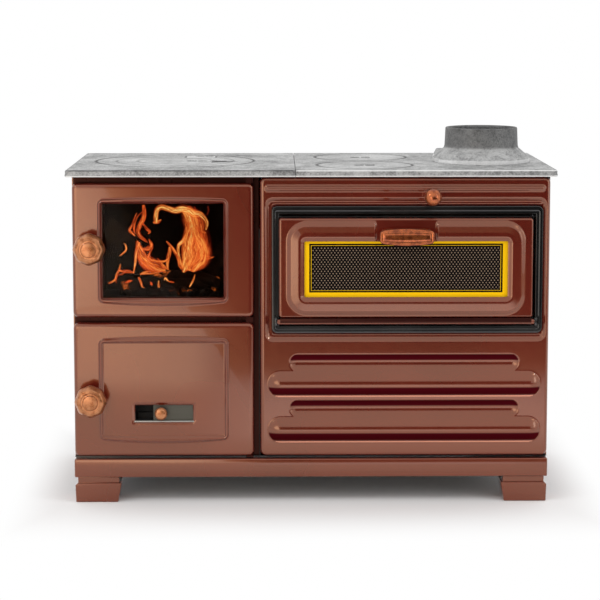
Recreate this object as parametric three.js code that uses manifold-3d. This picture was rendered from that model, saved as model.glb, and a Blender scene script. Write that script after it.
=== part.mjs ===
// A wood-fired cookstove with an oven. The front faces -Y, +Z is up, and the floor is at zero.
// The firebox and ash pit stand at the left, the oven at the right, under a two-piece cast iron hob.
// All lengths are in millimetres.
import * as THREE from "three";
import { mergeVertices } from "three/addons/utils/BufferGeometryUtils.js";
import Module from "manifold-3d";

const wasm = await Module();
wasm.setup();

// Overall sizes and the clearances that every fit shares
const bodyWidth = 810;
const hobDepth = 400;
const hobSideOverhang = 10;
const hobFrontOverhang = 8;
const hobRearOverhang = 8;
const knobReach = 46;
const seat = 0.3;
const cutOverrun = 5;
const sheet = 2;

// Feet and plinth
const footHeight = 43;
const footNeckHeight = 10;
const footWidth = 79;
const footDepth = 62;
const footNeckInset = 4;
const footInnerTaper = 6;
const footSideInset = 1;
const plinthHeight = 32;
const plinthRailThickness = 22;
const plinthShadowGap = 5;

// Front columns: the doors at the left, the oven panel at the right
const doorSideInset = 1;
const doorWidth = 306;
const columnGap = 11;
const ashDoorHeight = 230;
const doorGap = 10;
const fireDoorHeight = 228;
const doorTopGap = 11;
const doorThickness = 16;
const doorCornerRadius = 9;
const doorEdgeRadius = 6;

// Window bead that both doors are pressed with
const beadSideMargin = 42;
const beadTopMargin = 26;
const beadWidth = 8.5;
const beadHeight = 4;
const beadCornerRadius = 10;
const beadTopSag = 3;
const beadBottomSag = 6;
const beadEdge = 3;
const fireBeadBottomMargin = 25;
const ashBeadBottomMargin = 28;

// Firebox glass, rope seals and door castings
const fireGlassThickness = 4;
const glassHold = 5;
const glassPlay = 0.6;
const ropeWidth = 6;
const ropeOutset = 3;
const castingSideWall = 4;

// Front casting with its two mouths
const frontCastingThickness = 6;
const frontCastingStandoff = 20;
const mouthLeftLand = 15;
const mouthRightLand = 27;
const fireMouthSill = 25;
const fireMouthTopMargin = 13;
const ashMouthSill = 15;
const ashMouthTopMargin = 15;

// Hinge lugs with vertical pins
const hingeInset = 7;
const hingeSetback = 8;
const pinRadius = 3;
const pinReach = 7;
const lugHalfWidth = 6;
const lugNose = 5;

// Knobs and latch cams
const latchInset = 31;
const fireKnobDrop = 108;
const ashKnobRise = 101;
const knobRadius = 26.5;
const knobLobes = 8;
const knobLobeDepth = 1.3;
const knobLobeSteps = 6;
const knobThickness = 23;
const knobEdge = 6;
const knobCapRadius = 13;
const knobCapHeight = 1.5;
const knobNeckRadius = 9;
const shaftRadius = 5;
const camThickness = 4;
const camBackset = 1;
const camWidth = 12;
const camReach = 25;

// Air slider in the ash door
const slotWidth = 99;
const slotHeight = 27;
const slotRise = 62;
const sliderThickness = 1.6;
const sliderOverlap = 4;
const sliderOpenShow = 31;
const sliderKnobRadius = 11;
const sliderKnobThickness = 9;
const sliderKnobStandoff = 6;
const sliderStemRadius = 5;
const sliderKnobOffset = 5;
const sliderTravelRight = 43;
const sliderTravelLeft = 33;
const sliderPocketDepth = 3.4;

// Oven panel with its pressed recess, top rib and lower ribs
const panelCornerRadius = 10;
const panelEdgeRadius = 6;
const recessDepth = 5;
const recessLeftMargin = 8;
const recessRightMargin = 5;
const recessTopMargin = 35;
const recessRibGap = 21.7;
const recessRadius = 14;
const topRibRise = 15.5;
const topRibHeight = 14;
const topRibReach = 4;
const topRibInset = 7;
const longRibHeight = 43;
const shortRibHeight = 30;
const ribReach = 8;
const grooveDepth = 5;
const longRibInset = 13;
const shortRibInset = 50;
const ribGroupRise = 24;
const ribRoundRadius = 6;
const ribGap = 6;

// Oven frame, box, runners and rack
const ovenFrameLeftGap = 12;
const ovenFrameRightGap = 7;
const ovenFrameEndGap = 14.5;
const ovenFrameRadius = 9;
const ovenFrameDepth = 11;
const ovenFrameLip = 6;
const ovenLedge = 2;
const ovenMouthSide = 21;
const ovenMouthBottom = 35;
const ovenMouthTop = 27;
const ovenRearGap = 50.4;
const ovenBoxFlange = 14;
const runnerWidth = 14;
const runnerHeight = 6;
const runnerRise = 42;
const rackBarRadius = 2.5;
const rackBars = 11;
const rackRearGap = 21;

// Oven door with its raised ring, glass, handle and hinge rail
const ovenDoorLeftGap = 12;
const ovenDoorRightGap = 17;
const ovenDoorTopGap = 20;
const ovenDoorBottomGap = 27;
const ovenDoorProud = 6;
const ovenDoorThickness = 14;
const ovenDoorCornerRadius = 4;
const ringSideMargin = 13;
const ringEndMargin = 5;
const ringCornerRadius = 34;
const ringHeight = 6;
const ringEdge = 4;
const ringInnerRadius = 10;
const ovenGlassSideMargin = 43;
const ovenGlassTopMargin = 39;
const ovenGlassBottomMargin = 36;
const ovenGlassThickness = 4;
const ovenGlassHold = 4;
const handleNotchPlay = 3.5;
const handleNotchHeight = 17;
const handleWidth = 92;
const handleHeight = 29;
const handleDrop = 15;
const handleThickness = 8;
const handleReach = 30;
const handleArch = 3;
const handleCorner = 5;
const handleEdge = 3.5;
const postRadius = 5;
const postInset = 16;
const railRadius = 5.7;
const railDrop = 6.5;
const railSetback = 1;
const railOverhang = 3;
const ovenPinRadius = 3;
const ovenPinLength = 8;
const ovenLugWidth = 4;
const ovenLugHeight = 16;

// Hob castings, rings and lids
const hobRimHeight = 12;
const hobThickness = 8;
const hobEdge = 3;
const hobCornerRadius = 6;
const hobSeamShift = 17;
const hobSeamGap = 1;
const ledgeDepth = 4;
const ledgeWidth = 8;
const largeLeftMargin = 36;
const largeFrontMargin = 65;
const largeRearMargin = 55;
const outerRingWidth = 36;
const innerRingWidth = 37;
const smallShift = 30.5;
const smallFrontMargin = 25;
const smallRearMargin = 26;
const smallGap = 17;
const lifterSlotLength = 36;
const lifterSlotWidth = 10;
const lifterDepth = 5;
const lifterInset = 10;

// Flue collar
const flueFromRight = 110;
const flueShift = -2;
const flueRadius = 65;
const flueWall = 5;
const flueTaper = 1.5;
const flueHeight = 60;
const flueNeckHeight = 26;
const skirtRadius = 86;
const skirtRimHeight = 6;
const padHeight = 16;
const padSlope = 7;
const padFootHeight = 3;
const padLeft = 79;
const padRight = 74;
const padHalfDepth = 104;
const padLeftRadius = 10;
const padRightRadius = 50;

// Damper above the oven
const damperKnobRadius = 14.5;
const damperKnobReach = 30;
const damperFromOvenCentre = 40.5;
const damperBelowHob = 32;
const damperRodRadius = 4;
const damperPlateLeftInset = 99;
const damperPlateRightInset = 18;
const damperPlateDepth = 90;
const damperTabWidth = 40;
const damperPlateThickness = 2;

// Firebox lining, shelf, grate and ash drawer
const partitionTopGap = 90;
const partitionThickness = 2;
const shelfThickness = 4;
const shelfDrop = 2;
const brickThickness = 24;
const brickTopGap = 44.7;
const brickFrontSetback = 20;
const brickRearGap = 2;
const grateSideGap = 32;
const grateEndGap = 40;
const grateThickness = 12;
const grateHold = 10;
const grateBars = 9;
const grateRim = 14;
const grateSlotShare = 0.5;
const drawerSidePlay = 15.85;
const drawerRearGap = 45.7;
const drawerHeight = 110;
const drawerSetback = 5;
const drawerRunnerWidth = 24;
const drawerRunnerInset = 12;
const drawerGripWidth = 90;
const drawerGripHeight = 22;

// How finely round shapes are cut
const cornerSteps = 4;
const bevelSteps = 2;
const roundSteps = 36;
const smallRoundSteps = 16;
const ballSteps = 12;

// Planes worked out from the sizes above
const hobWidth = bodyWidth + hobSideOverhang * 2;
const totalDepth = hobDepth + knobReach - hobFrontOverhang;
const faceY = knobReach - totalDepth / 2;
const hobFrontY = faceY - hobFrontOverhang;
const hobBackY = hobFrontY + hobDepth;
const bodyBackY = hobBackY - hobRearOverhang;
const bodyLeft = -bodyWidth / 2;
const bodyRight = bodyWidth / 2;
const plinthTop = footHeight + plinthHeight;
const frontBottom = plinthTop + plinthShadowGap;
const ashTop = frontBottom + ashDoorHeight;
const fireBottom = ashTop + doorGap;
const fireTop = fireBottom + fireDoorHeight;
const rimBottom = fireTop + doorTopGap;
const hobTop = rimBottom + hobRimHeight;
const hobUnderside = hobTop - hobThickness;
const hobRim = hobSideOverhang + sheet;
const doorLeft = bodyLeft + doorSideInset;
const doorRight = doorLeft + doorWidth;
const panelLeft = doorRight + columnGap;
const panelRight = bodyRight - doorSideInset;
const panelTop = rimBottom - seat;
const castingFrontY = faceY + frontCastingStandoff;
const castingBackY = castingFrontY + frontCastingThickness;
const baseTop = plinthTop + seat + sheet;
const wallBottom = baseTop + seat;
const innerLeft = bodyLeft + sheet + seat;
const innerBackY = bodyBackY - sheet - seat;
const mouthLeft = bodyLeft + sheet + mouthLeftLand;
const castingRight = panelLeft - seat - partitionThickness;
const mouthRight = castingRight - mouthRightLand;
const fireMouthBottom = fireBottom + fireMouthSill;
const fireMouthTop = fireTop - fireMouthTopMargin;
const ashMouthBottom = frontBottom + ashMouthSill;
const ashMouthTop = ashTop - ashMouthTopMargin;
const drawerLeft = mouthLeft + drawerSidePlay;
const drawerRight = mouthRight - drawerSidePlay;
const drawerFrontY = castingBackY + drawerSetback + camBackset + camThickness;
const drawerBackY = innerBackY - drawerRearGap;
const hingeX = doorRight - hingeInset;
const hingeY = faceY + hingeSetback;
const latchX = doorLeft + latchInset;
const fireKnobZ = fireTop - fireKnobDrop;
const ashKnobZ = frontBottom + ashKnobRise;

// Colours and finishes
const finish = (color, roughness, metalness) =>
  new THREE.MeshStandardMaterial({ color, roughness, metalness });
const enamel = finish(0x8a4630, 0.2, 0.1);
const blackEnamel = finish(0x141312, 0.25, 0.1);
const castIron = finish(0x8b8c8c, 0.65, 0.6);
const darkIron = finish(0x2b2826, 0.8, 0.4);
const bareSteel = finish(0x86867f, 0.4, 0.9);
const copper = finish(0xb6774c, 0.35, 0.6);
const glass = finish(0x1c1a18, 0.08, 0);
const rope = finish(0xb9b4a6, 0.95, 0);
const brick = finish(0xc2a784, 0.95, 0);

// Turns a closed three.js geometry into a solid that can be joined and cut
function solid(geometry) {
  const bare = geometry.index ? geometry.toNonIndexed() : geometry.clone();
  bare.deleteAttribute("normal");
  bare.deleteAttribute("uv");
  const merged = mergeVertices(bare);
  const index = merged.index.array;
  const kept = [];
  for (let i = 0; i < index.length; i += 3) {
    const [a, b, c] = [index[i], index[i + 1], index[i + 2]];
    if (a !== b && b !== c && c !== a) kept.push(a, b, c);
  }
  return new wasm.Manifold(
    new wasm.Mesh({
      numProp: 3,
      vertProperties: merged.attributes.position.array,
      triVerts: new Uint32Array(kept),
    }),
  );
}

// Turns a finished solid back into a three.js geometry
function geometryOf(body) {
  const mesh = body.getMesh();
  const geometry = new THREE.BufferGeometry();
  geometry.setAttribute("position", new THREE.BufferAttribute(mesh.vertProperties, mesh.numProp));
  geometry.setIndex(new THREE.BufferAttribute(mesh.triVerts, 1));
  geometry.computeVertexNormals();
  return geometry;
}

const joined = (bodies) => bodies.reduce((sum, next) => sum.add(next));
const cutAll = (body, cuts) => cuts.reduce((rest, next) => rest.subtract(next), body);

// A box between two corners
function box(x0, x1, y0, y1, z0, z1) {
  const geometry = new THREE.BoxGeometry(x1 - x0, y1 - y0, z1 - z0);
  return solid(geometry.translate((x0 + x1) / 2, (y0 + y1) / 2, (z0 + z1) / 2));
}

// A rectangle with round corners, drawn between two corners
function roundedRectangle(x0, x1, z0, z1, radius, path = new THREE.Shape()) {
  path.moveTo(x0 + radius, z0);
  path.lineTo(x1 - radius, z0);
  path.absarc(x1 - radius, z0 + radius, radius, -Math.PI / 2, 0);
  path.lineTo(x1, z1 - radius);
  path.absarc(x1 - radius, z1 - radius, radius, 0, Math.PI / 2);
  path.lineTo(x0 + radius, z1);
  path.absarc(x0 + radius, z1 - radius, radius, Math.PI / 2, Math.PI);
  path.lineTo(x0, z0 + radius);
  path.absarc(x0 + radius, z0 + radius, radius, Math.PI, (Math.PI * 3) / 2);
  return path;
}

// The same, with its bottom and top edges bowed outwards
function bowedRectangle(x0, x1, z0, z1, radius, bottomSag, topSag) {
  const path = new THREE.Shape();
  const middle = (x0 + x1) / 2;
  path.moveTo(x0 + radius, z0);
  path.quadraticCurveTo(middle, z0 - bottomSag * 2, x1 - radius, z0);
  path.absarc(x1 - radius, z0 + radius, radius, -Math.PI / 2, 0);
  path.lineTo(x1, z1 - radius);
  path.absarc(x1 - radius, z1 - radius, radius, 0, Math.PI / 2);
  path.quadraticCurveTo(middle, z1 + topSag * 2, x0 + radius, z1);
  path.absarc(x0 + radius, z1 - radius, radius, Math.PI / 2, Math.PI);
  path.lineTo(x0, z0 + radius);
  path.absarc(x0 + radius, z0 + radius, radius, Math.PI, (Math.PI * 3) / 2);
  return path;
}

// Extrudes a shape seen from the front from its back plane to its front plane
function frontSlab(shape, frontY, backY) {
  const geometry = new THREE.ExtrudeGeometry(shape, {
    depth: backY - frontY,
    curveSegments: cornerSteps,
    bevelEnabled: false,
  });
  return solid(geometry.rotateX(Math.PI / 2).translate(0, backY, 0));
}

// The same, with its front edge rounded over and its back edge left square
function softFrontSlab(shape, frontY, backY, edge) {
  const depth = backY - frontY;
  const geometry = new THREE.ExtrudeGeometry(shape, {
    depth,
    curveSegments: cornerSteps,
    bevelEnabled: true,
    bevelThickness: edge,
    bevelSize: edge,
    bevelOffset: -edge,
    bevelSegments: bevelSteps,
  });
  const body = solid(geometry.rotateX(Math.PI / 2).translate(0, backY + edge, 0));
  const reach = hobWidth;
  return body.subtract(box(-reach, reach, backY, backY + edge * 2 + cutOverrun, -reach, reach));
}

// Turns a profile of [radius, height] points about the vertical axis
function turned(profile, x, y, steps) {
  const points = profile.map(([radius, height]) => new THREE.Vector2(radius, height));
  const geometry = new THREE.LatheGeometry(points, steps);
  return solid(geometry.rotateX(Math.PI / 2).translate(x, y, 0));
}

// Turns a profile of [radius, distance towards the front] points about an axis that points to the front
function turnedToFront(profile, x, y, z, steps) {
  const points = profile.map(([radius, reach]) => new THREE.Vector2(radius, reach));
  const geometry = new THREE.LatheGeometry(points, steps);
  return solid(geometry.rotateX(Math.PI).translate(x, y, z));
}

const rod = (radius, frontY, backY, x, z, steps = smallRoundSteps) =>
  turnedToFront(
    [
      [0, 0],
      [radius, 0],
      [radius, backY - frontY],
      [0, backY - frontY],
    ],
    x,
    backY,
    z,
    steps,
  );

const post = (radius, bottomZ, topZ, x, y, steps = smallRoundSteps) =>
  turned(
    [
      [0, bottomZ],
      [radius, bottomZ],
      [radius, topZ],
      [0, topZ],
    ],
    x,
    y,
    steps,
  );

function crossRod(radius, x0, x1, y, z) {
  const geometry = new THREE.CylinderGeometry(radius, radius, x1 - x0, smallRoundSteps);
  return solid(geometry.rotateZ(Math.PI / 2).translate((x0 + x1) / 2, y, z));
}

const stove = new THREE.Group();

function add(name, body, material) {
  const mesh = new THREE.Mesh(geometryOf(body), material);
  mesh.name = name;
  stove.add(mesh);
}

// Four pressed feet, each a block that narrows inwards below a set-back neck
function addFeet() {
  const neckBottom = footHeight - footNeckHeight;
  const outerFrontY = faceY;
  for (const [sideName, side] of [
    ["left", -1],
    ["right", 1],
  ]) {
    for (const [endName, startY] of [
      ["front", outerFrontY],
      ["rear", bodyBackY - footDepth],
    ]) {
      const outer = side * (bodyWidth / 2 - footSideInset);
      const inner = outer - side * footWidth;
      const outline = new THREE.Shape();
      const points = [
        [outer - side * footSideInset, 0],
        [outer, neckBottom],
        [outer - side * footNeckInset, neckBottom],
        [outer - side * footNeckInset, footHeight - seat],
        [inner + side * footNeckInset, footHeight - seat],
        [inner + side * footNeckInset, neckBottom],
        [inner, neckBottom],
        [inner + side * footInnerTaper, 0],
      ];
      outline.setFromPoints(points.map(([x, z]) => new THREE.Vector2(x, z)));
      add(`foot_${endName}_${sideName}`, frontSlab(outline, startY, startY + footDepth), enamel);
    }
  }
}

// The plinth is four rails under a base plate, which has two raised runners for the ash drawer
function addPlinth() {
  const railTop = plinthTop;
  const thick = plinthRailThickness;
  const sideFrontY = faceY + thick + seat;
  const sideBackY = bodyBackY - thick - seat;
  add("plinth_front", box(bodyLeft, bodyRight, faceY, faceY + thick, footHeight, railTop), enamel);
  add("plinth_rear", box(bodyLeft, bodyRight, bodyBackY - thick, bodyBackY, footHeight, railTop), enamel);
  add("plinth_left", box(bodyLeft, bodyLeft + thick, sideFrontY, sideBackY, footHeight, railTop), enamel);
  add("plinth_right", box(bodyRight - thick, bodyRight, sideFrontY, sideBackY, footHeight, railTop), enamel);
  const baseFrontY = faceY + doorThickness;
  const plate = box(bodyLeft, bodyRight, baseFrontY, bodyBackY, plinthTop + seat, baseTop);
  const runnerLefts = [
    drawerLeft + drawerRunnerInset,
    drawerRight - drawerRunnerInset - drawerRunnerWidth,
  ];
  const runners = runnerLefts.map((x) =>
    box(x, x + drawerRunnerWidth, castingBackY + seat, drawerBackY, plinthTop + seat, ashMouthBottom),
  );
  add("base_plate", joined([plate, ...runners]), blackEnamel);
}

// Sheet walls of the cabinet and the partition between firebox and oven
function addWalls() {
  const wallTop = rimBottom - seat;
  const sideBackY = bodyBackY - sheet - seat;
  const panelBackY = faceY + doorThickness + seat;
  add(
    "side_panel_left",
    box(bodyLeft, bodyLeft + sheet, castingFrontY, sideBackY, wallBottom, wallTop),
    enamel,
  );
  add(
    "side_panel_right",
    box(bodyRight - sheet, bodyRight, panelBackY, sideBackY, wallBottom, wallTop),
    enamel,
  );
  add("back_panel", box(bodyLeft, bodyRight, bodyBackY - sheet, bodyBackY, wallBottom, wallTop), blackEnamel);
  const partitionLeft = castingRight + seat;
  const partitionRight = partitionLeft + partitionThickness;
  const partitionTop = rimBottom - partitionTopGap;
  add(
    "partition",
    box(partitionLeft, partitionRight, panelBackY, innerBackY, wallBottom, partitionTop),
    darkIron,
  );
}

// Cast front of the firebox side, with a mouth for the fire and one for the ash drawer
function addFrontCasting() {
  const top = hobUnderside - seat;
  const plate = box(innerLeft, castingRight, castingFrontY, castingBackY, wallBottom, top);
  const cutFront = castingFrontY - cutOverrun;
  const cutBack = castingBackY + cutOverrun;
  add(
    "front_casting",
    cutAll(plate, [
      box(mouthLeft, mouthRight, cutFront, cutBack, fireMouthBottom, fireMouthTop),
      box(mouthLeft, mouthRight, cutFront, cutBack, ashMouthBottom, ashMouthTop),
    ]),
    darkIron,
  );
}

// Three lugs on the front casting, with the vertical pins that both doors turn on
function addHingeLugs() {
  const backY = castingFrontY - seat;
  const noseY = hingeY - lugNose;
  const lugLeft = hingeX - lugHalfWidth;
  const lugRight = hingeX + lugHalfWidth;
  const lug = (bottomZ, topZ) => box(lugLeft, lugRight, noseY, backY, bottomZ, topZ);
  const pin = (bottomZ, topZ) => post(pinRadius, bottomZ, topZ, hingeX, hingeY);
  const topLugBottom = fireTop + seat;
  const topLugTop = topLugBottom + doorGap - seat * 2;
  add("hinge_lug_top", lug(topLugBottom, topLugTop).add(pin(fireTop - pinReach, topLugTop)), darkIron);
  const middleBottom = ashTop + seat;
  const middleTop = fireBottom - seat;
  const middlePin = pin(ashTop - pinReach, fireBottom + pinReach);
  add("hinge_lug_middle", lug(middleBottom, middleTop).add(middlePin), darkIron);
  const lowBottom = baseTop + seat;
  const lowTop = frontBottom - seat;
  add("hinge_lug_bottom", lug(lowBottom, lowTop).add(pin(lowBottom, frontBottom + pinReach)), darkIron);
}

// A pressed door shell: a shallow pan with a rounded front edge and a raised bead
function doorShell(bottomZ, topZ, beadBottomMargin) {
  const outline = roundedRectangle(doorLeft, doorRight, bottomZ, topZ, doorCornerRadius);
  const backY = faceY + doorThickness;
  const pan = softFrontSlab(outline, faceY, backY, doorEdgeRadius);
  const hollow = box(
    doorLeft + sheet,
    doorRight - sheet,
    faceY + sheet,
    backY + cutOverrun,
    bottomZ + sheet,
    topZ - sheet,
  );
  const beadLeft = doorLeft + beadSideMargin;
  const beadRight = doorRight - beadSideMargin;
  const beadBottom = bottomZ + beadBottomMargin;
  const beadTop = topZ - beadTopMargin;
  const beadShape = bowedRectangle(
    beadLeft,
    beadRight,
    beadBottom,
    beadTop,
    beadCornerRadius,
    beadBottomSag,
    beadTopSag,
  );
  const bead = softFrontSlab(beadShape, faceY - beadHeight, faceY + sheet, beadEdge);
  const holes = [bottomZ, topZ].map((edgeZ) =>
    post(pinRadius + seat, edgeZ - sheet * 2, edgeZ + sheet * 2, hingeX, hingeY),
  );
  const inner = {
    left: beadLeft + beadWidth,
    right: beadRight - beadWidth,
    bottom: beadBottom + beadWidth,
    top: beadTop - beadWidth,
  };
  return { body: cutAll(pan.subtract(hollow).add(bead), holes), inner };
}

// The casting that fills a door shell from behind, with room for the pins of its hinge
function doorCasting(bottomZ, topZ) {
  const gap = sheet + castingSideWall;
  const body = box(
    doorLeft + gap,
    hingeX - lugHalfWidth,
    faceY + sheet + seat,
    faceY + doorThickness,
    bottomZ + gap,
    topZ - gap,
  );
  return body;
}

// Rope seal round a mouth, pressed between the door casting and the front casting
function ropeSeal(bottomZ, topZ) {
  const outer = ropeWidth + ropeOutset;
  const inner = ropeOutset;
  const ring = (reach) => [mouthLeft - reach, mouthRight + reach, bottomZ - reach, topZ + reach];
  const frontY = faceY + doorThickness + seat;
  const backY = castingFrontY - seat;
  const [outerRing, innerRing] = [ring(outer), ring(inner)];
  const outerBody = frontSlab(roundedRectangle(...outerRing, outer), frontY, backY);
  return outerBody.subtract(
    frontSlab(roundedRectangle(...innerRing, inner), frontY - cutOverrun, backY + cutOverrun),
  );
}

// A fluted knob on a shaft that reaches through the door to its cam
function latchKnob(z) {
  const outline = new THREE.Shape();
  const count = knobLobes * knobLobeSteps;
  const points = Array.from({ length: count }, (_, i) => {
    const turn = (i / count) * Math.PI * 2;
    const radius = knobRadius + knobLobeDepth * Math.cos(turn * knobLobes);
    return new THREE.Vector2(latchX + radius * Math.sin(turn), z + radius * Math.cos(turn));
  });
  outline.setFromPoints(points.reverse());
  const knobFrontY = faceY - knobReach + knobCapHeight;
  const knobBackY = knobFrontY + knobThickness;
  const head = softFrontSlab(outline, knobFrontY, knobBackY, knobEdge);
  const cap = rod(knobCapRadius, faceY - knobReach, knobFrontY + cutOverrun, latchX, z, roundSteps / 2);
  const neck = rod(knobNeckRadius, knobBackY - cutOverrun, faceY - seat, latchX, z);
  const shaftBackY = castingBackY + camBackset + camThickness;
  const shaft = rod(shaftRadius, knobBackY - cutOverrun, shaftBackY, latchX, z);
  return joined([head, cap, neck, shaft]);
}

// The tongue behind the front casting, hanging down when the door is free to open
function latchCam(z) {
  const frontY = castingBackY + camBackset;
  const backY = frontY + camThickness;
  const half = camWidth / 2;
  const blade = box(latchX - half, latchX + half, frontY, backY, z - camReach, z);
  const eye = rod(shaftRadius + seat + sheet * 2, frontY, backY, latchX, z);
  return blade.add(eye).subtract(rod(shaftRadius + seat, frontY - cutOverrun, backY + cutOverrun, latchX, z));
}

const shaftHole = (z) =>
  rod(shaftRadius + seat, faceY - beadHeight - cutOverrun, castingBackY, latchX, z);

// Firebox door with its glass
function addFireDoor() {
  const { body, inner } = doorShell(fireBottom, fireTop, fireBeadBottomMargin);
  const backY = faceY + doorThickness;
  const window = box(
    inner.left,
    inner.right,
    faceY - beadHeight - cutOverrun,
    backY + cutOverrun,
    inner.bottom,
    inner.top,
  );
  add("fire_door_shell", cutAll(body, [window, shaftHole(fireKnobZ)]), enamel);
  const hold = glassHold;
  const glassFrontY = faceY + sheet + seat;
  const glassBackY = glassFrontY + fireGlassThickness;
  const rebate = box(
    inner.left - hold - glassPlay,
    inner.right + hold + glassPlay,
    faceY,
    glassBackY + seat,
    inner.bottom - hold - glassPlay,
    inner.top + hold + glassPlay,
  );
  const casting = doorCasting(fireBottom, fireTop);
  add("fire_door_casting", cutAll(casting, [window, rebate, shaftHole(fireKnobZ)]), darkIron);
  const pane = box(
    inner.left - hold,
    inner.right + hold,
    glassFrontY,
    glassBackY,
    inner.bottom - hold,
    inner.top + hold,
  );
  add("fire_door_glass", pane, glass);
  add("fire_door_rope", ropeSeal(fireMouthBottom, fireMouthTop), rope);
  add("fire_door_knob", latchKnob(fireKnobZ), copper);
  add("fire_door_cam", latchCam(fireKnobZ), darkIron);
}

// Ash door with its air slot and slider
function addAshDoor() {
  const { body } = doorShell(frontBottom, ashTop, ashBeadBottomMargin);
  const beadLeft = doorLeft + beadSideMargin;
  const beadRight = doorRight - beadSideMargin;
  const panelBottom = frontBottom + ashBeadBottomMargin + beadWidth;
  const panelTopZ = ashTop - beadTopMargin - beadWidth;
  const field = box(
    beadLeft + beadWidth,
    beadRight - beadWidth,
    faceY - beadHeight - cutOverrun,
    faceY,
    panelBottom,
    panelTopZ,
  );
  const slotLeft = (doorLeft + doorRight - slotWidth) / 2;
  const slotRight = slotLeft + slotWidth;
  const slotBottom = frontBottom + slotRise;
  const slotTop = slotBottom + slotHeight;
  const backY = faceY + doorThickness;
  const slot = box(slotLeft, slotRight, faceY - cutOverrun, backY + cutOverrun, slotBottom, slotTop);
  add("ash_door_shell", cutAll(body, [field, slot, shaftHole(ashKnobZ)]), enamel);
  const sliderLeft = slotLeft + sliderOpenShow;
  const sliderRight = slotRight + sliderTravelLeft + sliderOverlap;
  const pocket = box(
    sliderLeft - sliderTravelLeft - sliderOverlap,
    sliderRight + sliderTravelRight + sliderOverlap,
    faceY,
    faceY + sheet + sliderPocketDepth,
    slotBottom - sliderOverlap - seat,
    slotTop + sliderOverlap + seat,
  );
  const casting = doorCasting(frontBottom, ashTop);
  add("ash_door_casting", cutAll(casting, [slot, pocket, shaftHole(ashKnobZ)]), darkIron);
  add("ash_door_rope", ropeSeal(ashMouthBottom, ashMouthTop), rope);
  add("ash_door_knob", latchKnob(ashKnobZ), copper);
  add("ash_door_cam", latchCam(ashKnobZ), darkIron);
  const plateFrontY = faceY + sheet + seat;
  const plateBackY = plateFrontY + sliderThickness;
  const plate = box(
    sliderLeft,
    sliderRight,
    plateFrontY,
    plateBackY,
    slotBottom - sliderOverlap,
    slotTop + sliderOverlap,
  );
  add("air_slider", plate, bareSteel);
  const knobX = (slotLeft + slotRight) / 2 - sliderKnobOffset;
  const knobZ = (slotBottom + slotTop) / 2;
  const knobBackY = faceY - sliderKnobStandoff;
  const knobFrontY = knobBackY - sliderKnobThickness;
  const head = rod(sliderKnobRadius, knobFrontY, knobBackY, knobX, knobZ, roundSteps / 2);
  const stem = rod(sliderStemRadius, knobBackY - sheet, plateFrontY - seat, knobX, knobZ);
  add("air_slider_knob", head.add(stem), copper);
}

const recessLeft = panelLeft + recessLeftMargin;
const recessRight = panelRight - recessRightMargin;
const recessTop = panelTop - recessTopMargin;
const ribPitch = longRibHeight + shortRibHeight + ribGap;
const ribBottoms = [frontBottom + ribGroupRise, frontBottom + ribGroupRise + ribPitch];
const recessBottom = ribBottoms[1] + longRibHeight + shortRibHeight + recessRibGap;
const ovenFrameLeft = recessLeft + ovenFrameLeftGap;
const ovenFrameRight = recessRight - ovenFrameRightGap;
const ovenFrameBottom = recessBottom + ovenFrameEndGap;
const ovenFrameTop = recessTop - ovenFrameEndGap;
const mouth = {
  left: ovenFrameLeft + ovenMouthSide,
  right: ovenFrameRight - ovenMouthSide,
  bottom: ovenFrameBottom + ovenMouthBottom,
  top: ovenFrameTop - ovenMouthTop,
};
const ovenBoxBackY = innerBackY - ovenRearGap;
const damperX = (mouth.left + mouth.right) / 2 + damperFromOvenCentre;
const damperZ = rimBottom - damperBelowHob;

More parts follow.
